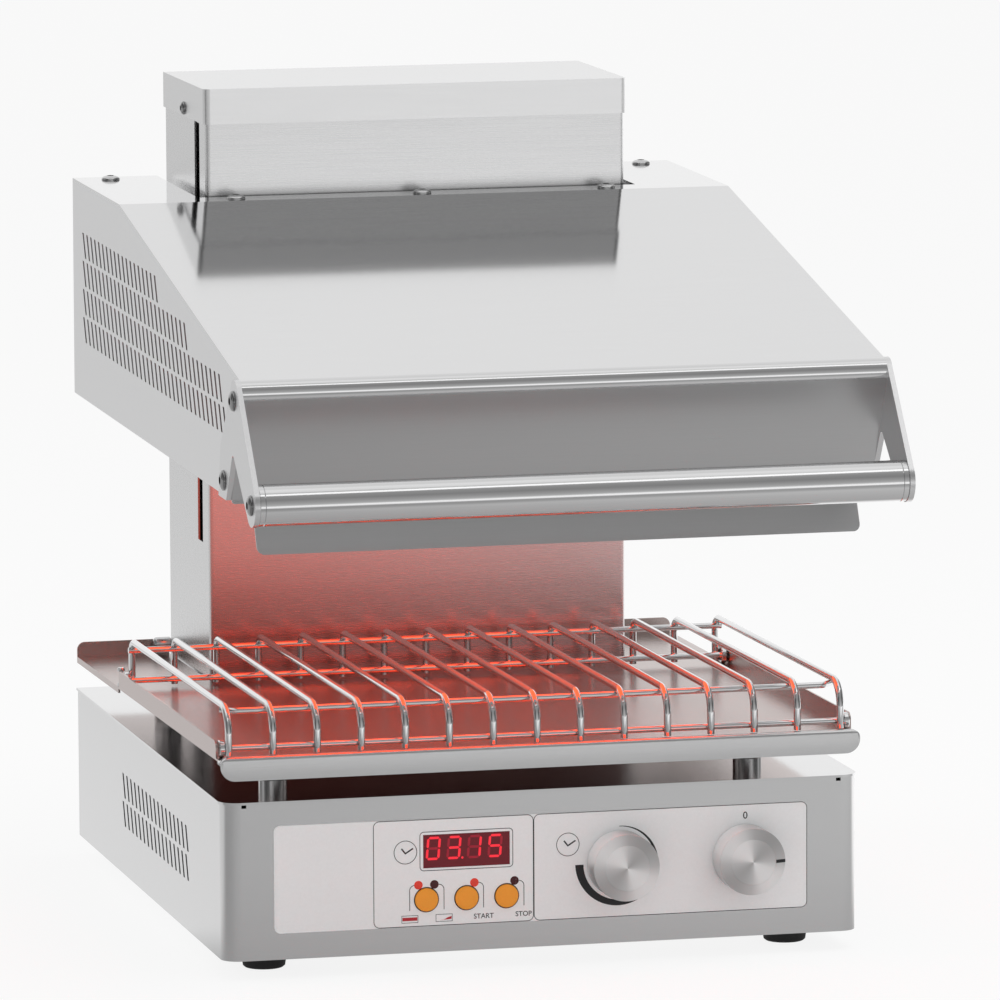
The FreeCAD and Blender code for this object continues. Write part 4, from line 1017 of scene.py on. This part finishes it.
def ray_kinds(tree):
    """Two values: one where the camera looks, and one where a ray is mirrored or passes through glass."""
    path = tree.nodes.new("ShaderNodeLightPath")
    mirrored = calculate(tree, "MAXIMUM", path.outputs["Is Glossy Ray"], path.outputs["Is Transmission Ray"])
    return path.outputs["Is Camera Ray"], mirrored


def make_world():
    """White behind and overhead; a wide grey screen stands over the front, where metal mirrors it."""
    world = bpy.data.worlds.new("studio")
    bpy.context.scene.world = world
    world.use_nodes = True
    tree = world.node_tree
    tree.nodes.clear()
    seen, mirrored = ray_kinds(tree)
    toward = axes(tree, coordinates(tree, "Generated"))
    climb = calculate(tree, "ARCTAN2", toward["Z"], calculate(tree, "MULTIPLY", toward["Y"], -1))
    studio = ramp_through(tree, remap(tree, climb, 0, math.pi), WORLD_STOPS)
    screens = ramp_through(tree, calculate(tree, "ABSOLUTE", toward["X"]), SIDE_STOPS)
    reflected, plain, backdrop = [
        new_node(tree, "ShaderNodeBackground", Color=colour, Strength=strength).outputs["Background"]
        for colour, strength in ((mix_colours(tree, "MULTIPLY", 1, studio, screens), 1.0), (white, sky_level),
                                 (white, 1.0))]
    output = tree.nodes.new("ShaderNodeOutputWorld")
    unseen = mix_shaders(tree, mirrored, plain, reflected)
    tree.links.new(mix_shaders(tree, seen, unseen, backdrop), output.inputs["Surface"])


def make_floor():
    """A pale paper floor: white to the camera; to mirrored rays it carries painted shade, greyer just in
    front of the part, and painted light and shade from left to right.
    """
    corners = [(x * floor_half, y * floor_half, 0) for x, y in ((-1, -1), (1, -1), (1, 1), (-1, 1))]
    mesh = bpy.data.meshes.new("floor")
    mesh.from_pydata(corners, [], [(0, 1, 2, 3)])
    floor = bpy.data.objects.new("floor", mesh)
    bpy.context.scene.collection.objects.link(floor)
    paper = finish("paper", (0.93, 0.93, 0.93), 0.0, 0.8)
    tree = paper.node_tree
    shader = tree.nodes["Principled BSDF"]
    shader.inputs["Specular IOR Level"].default_value = 0
    seen, mirrored = ray_kinds(tree)
    at = axes(tree, coordinates(tree, "Object"))
    # Painted shade and light that only mirrored rays see
    near = ramp_through(tree, remap(tree, at["Y"], 0, -floor_reach), FLOOR_PAINTED_SHADE_STOPS)
    aside = remap(tree, at["X"], -floor_side, floor_side, *floor_painted_side_levels)
    uneven = mix_colours(tree, "MULTIPLY", 1, near, aside)
    tint = mix_colours(tree, "MIX", mirrored, white, uneven)
    glow = new_node(tree, "ShaderNodeEmission", Color=tint, Strength=1.0).outputs["Emission"]
    share = calculate(tree, "MAXIMUM", calculate(tree, "MULTIPLY", seen, floor_seen_share),
                      calculate(tree, "MULTIPLY", mirrored, floor_mirrored_share))
    surface = mix_shaders(tree, share, shader.outputs["BSDF"], glow)
    tree.links.new(surface, tree.nodes["Material Output"].inputs["Surface"])
    mesh.materials.append(paper)


def make_lamp(name, position, width, height, energy, mirrored=False):
    data = bpy.data.lights.new(name, "AREA")
    data.shape = "RECTANGLE"
    data.size = width
    data.size_y = height
    data.energy = energy
    lamp = bpy.data.objects.new(name, data)
    bpy.context.scene.collection.objects.link(lamp)
    lamp.visible_glossy = mirrored
    lamp.location = position
    lamp.rotation_mode = "QUATERNION"
    lamp.rotation_quaternion = (Vector(lamp_target) - Vector(position)).to_track_quat("-Z", "Y")


def make_camera():
    azimuth = math.radians(camera_azimuth)
    elevation = math.radians(camera_elevation)
    back = Vector((-math.sin(azimuth) * math.cos(elevation), -math.cos(azimuth) * math.cos(elevation),
                   math.sin(elevation)))
    right = (-back).cross(UP).normalized()
    up = right.cross(-back)
    roll = math.radians(camera_roll)
    rolled_right = right * math.cos(roll) + up * math.sin(roll)
    rolled_up = up * math.cos(roll) - right * math.sin(roll)
    data = bpy.data.cameras.new("camera")
    data.lens = camera_lens
    data.sensor_width = sensor_width
    data.clip_end = camera_reach
    camera = bpy.data.objects.new("camera", data)
    bpy.context.scene.collection.objects.link(camera)
    turn = Matrix((rolled_right, rolled_up, back)).transposed().to_4x4()
    camera.matrix_world = Matrix.Translation(camera_target + back * camera_distance) @ turn
    bpy.context.scene.camera = camera


make_camera()
spin_rings_and_painted_sheen()
make_rack()
make_rack_feet()
make_tray_lip()
make_all_screws()
make_turned_pieces()
make_cables("hood_cable_runs", "carriage_cables")
make_cables("weight_cable_runs", "weight_cables")
make_knob("timer_dial", "timer_knob", "timer", timer_x)
make_knob("power_dial", "power_knob", "power", power_x)
make_pointer()
make_buttons()
make_led("led_lenses_lit", "leds_lit", "led_lit", lit_led_xs)
make_led("led_lenses_dark", "leds_dark", "led_dark", dark_led_xs)
make_print()
make_words()
make_digits()
make_world()
make_floor()
make_lamp("key", (0.9, -0.5, 2.4), lamp_size, lamp_size, 14)
make_lamp("fill", (-2.4, 0.4, 1.4), lamp_size, lamp_size, 10)
make_lamp("strip", (0.5, -1.15, 2.2), 2 * lamp_size, strip_height, 3.2, mirrored=True)

view = bpy.context.scene.view_settings
view.view_transform = "Standard"
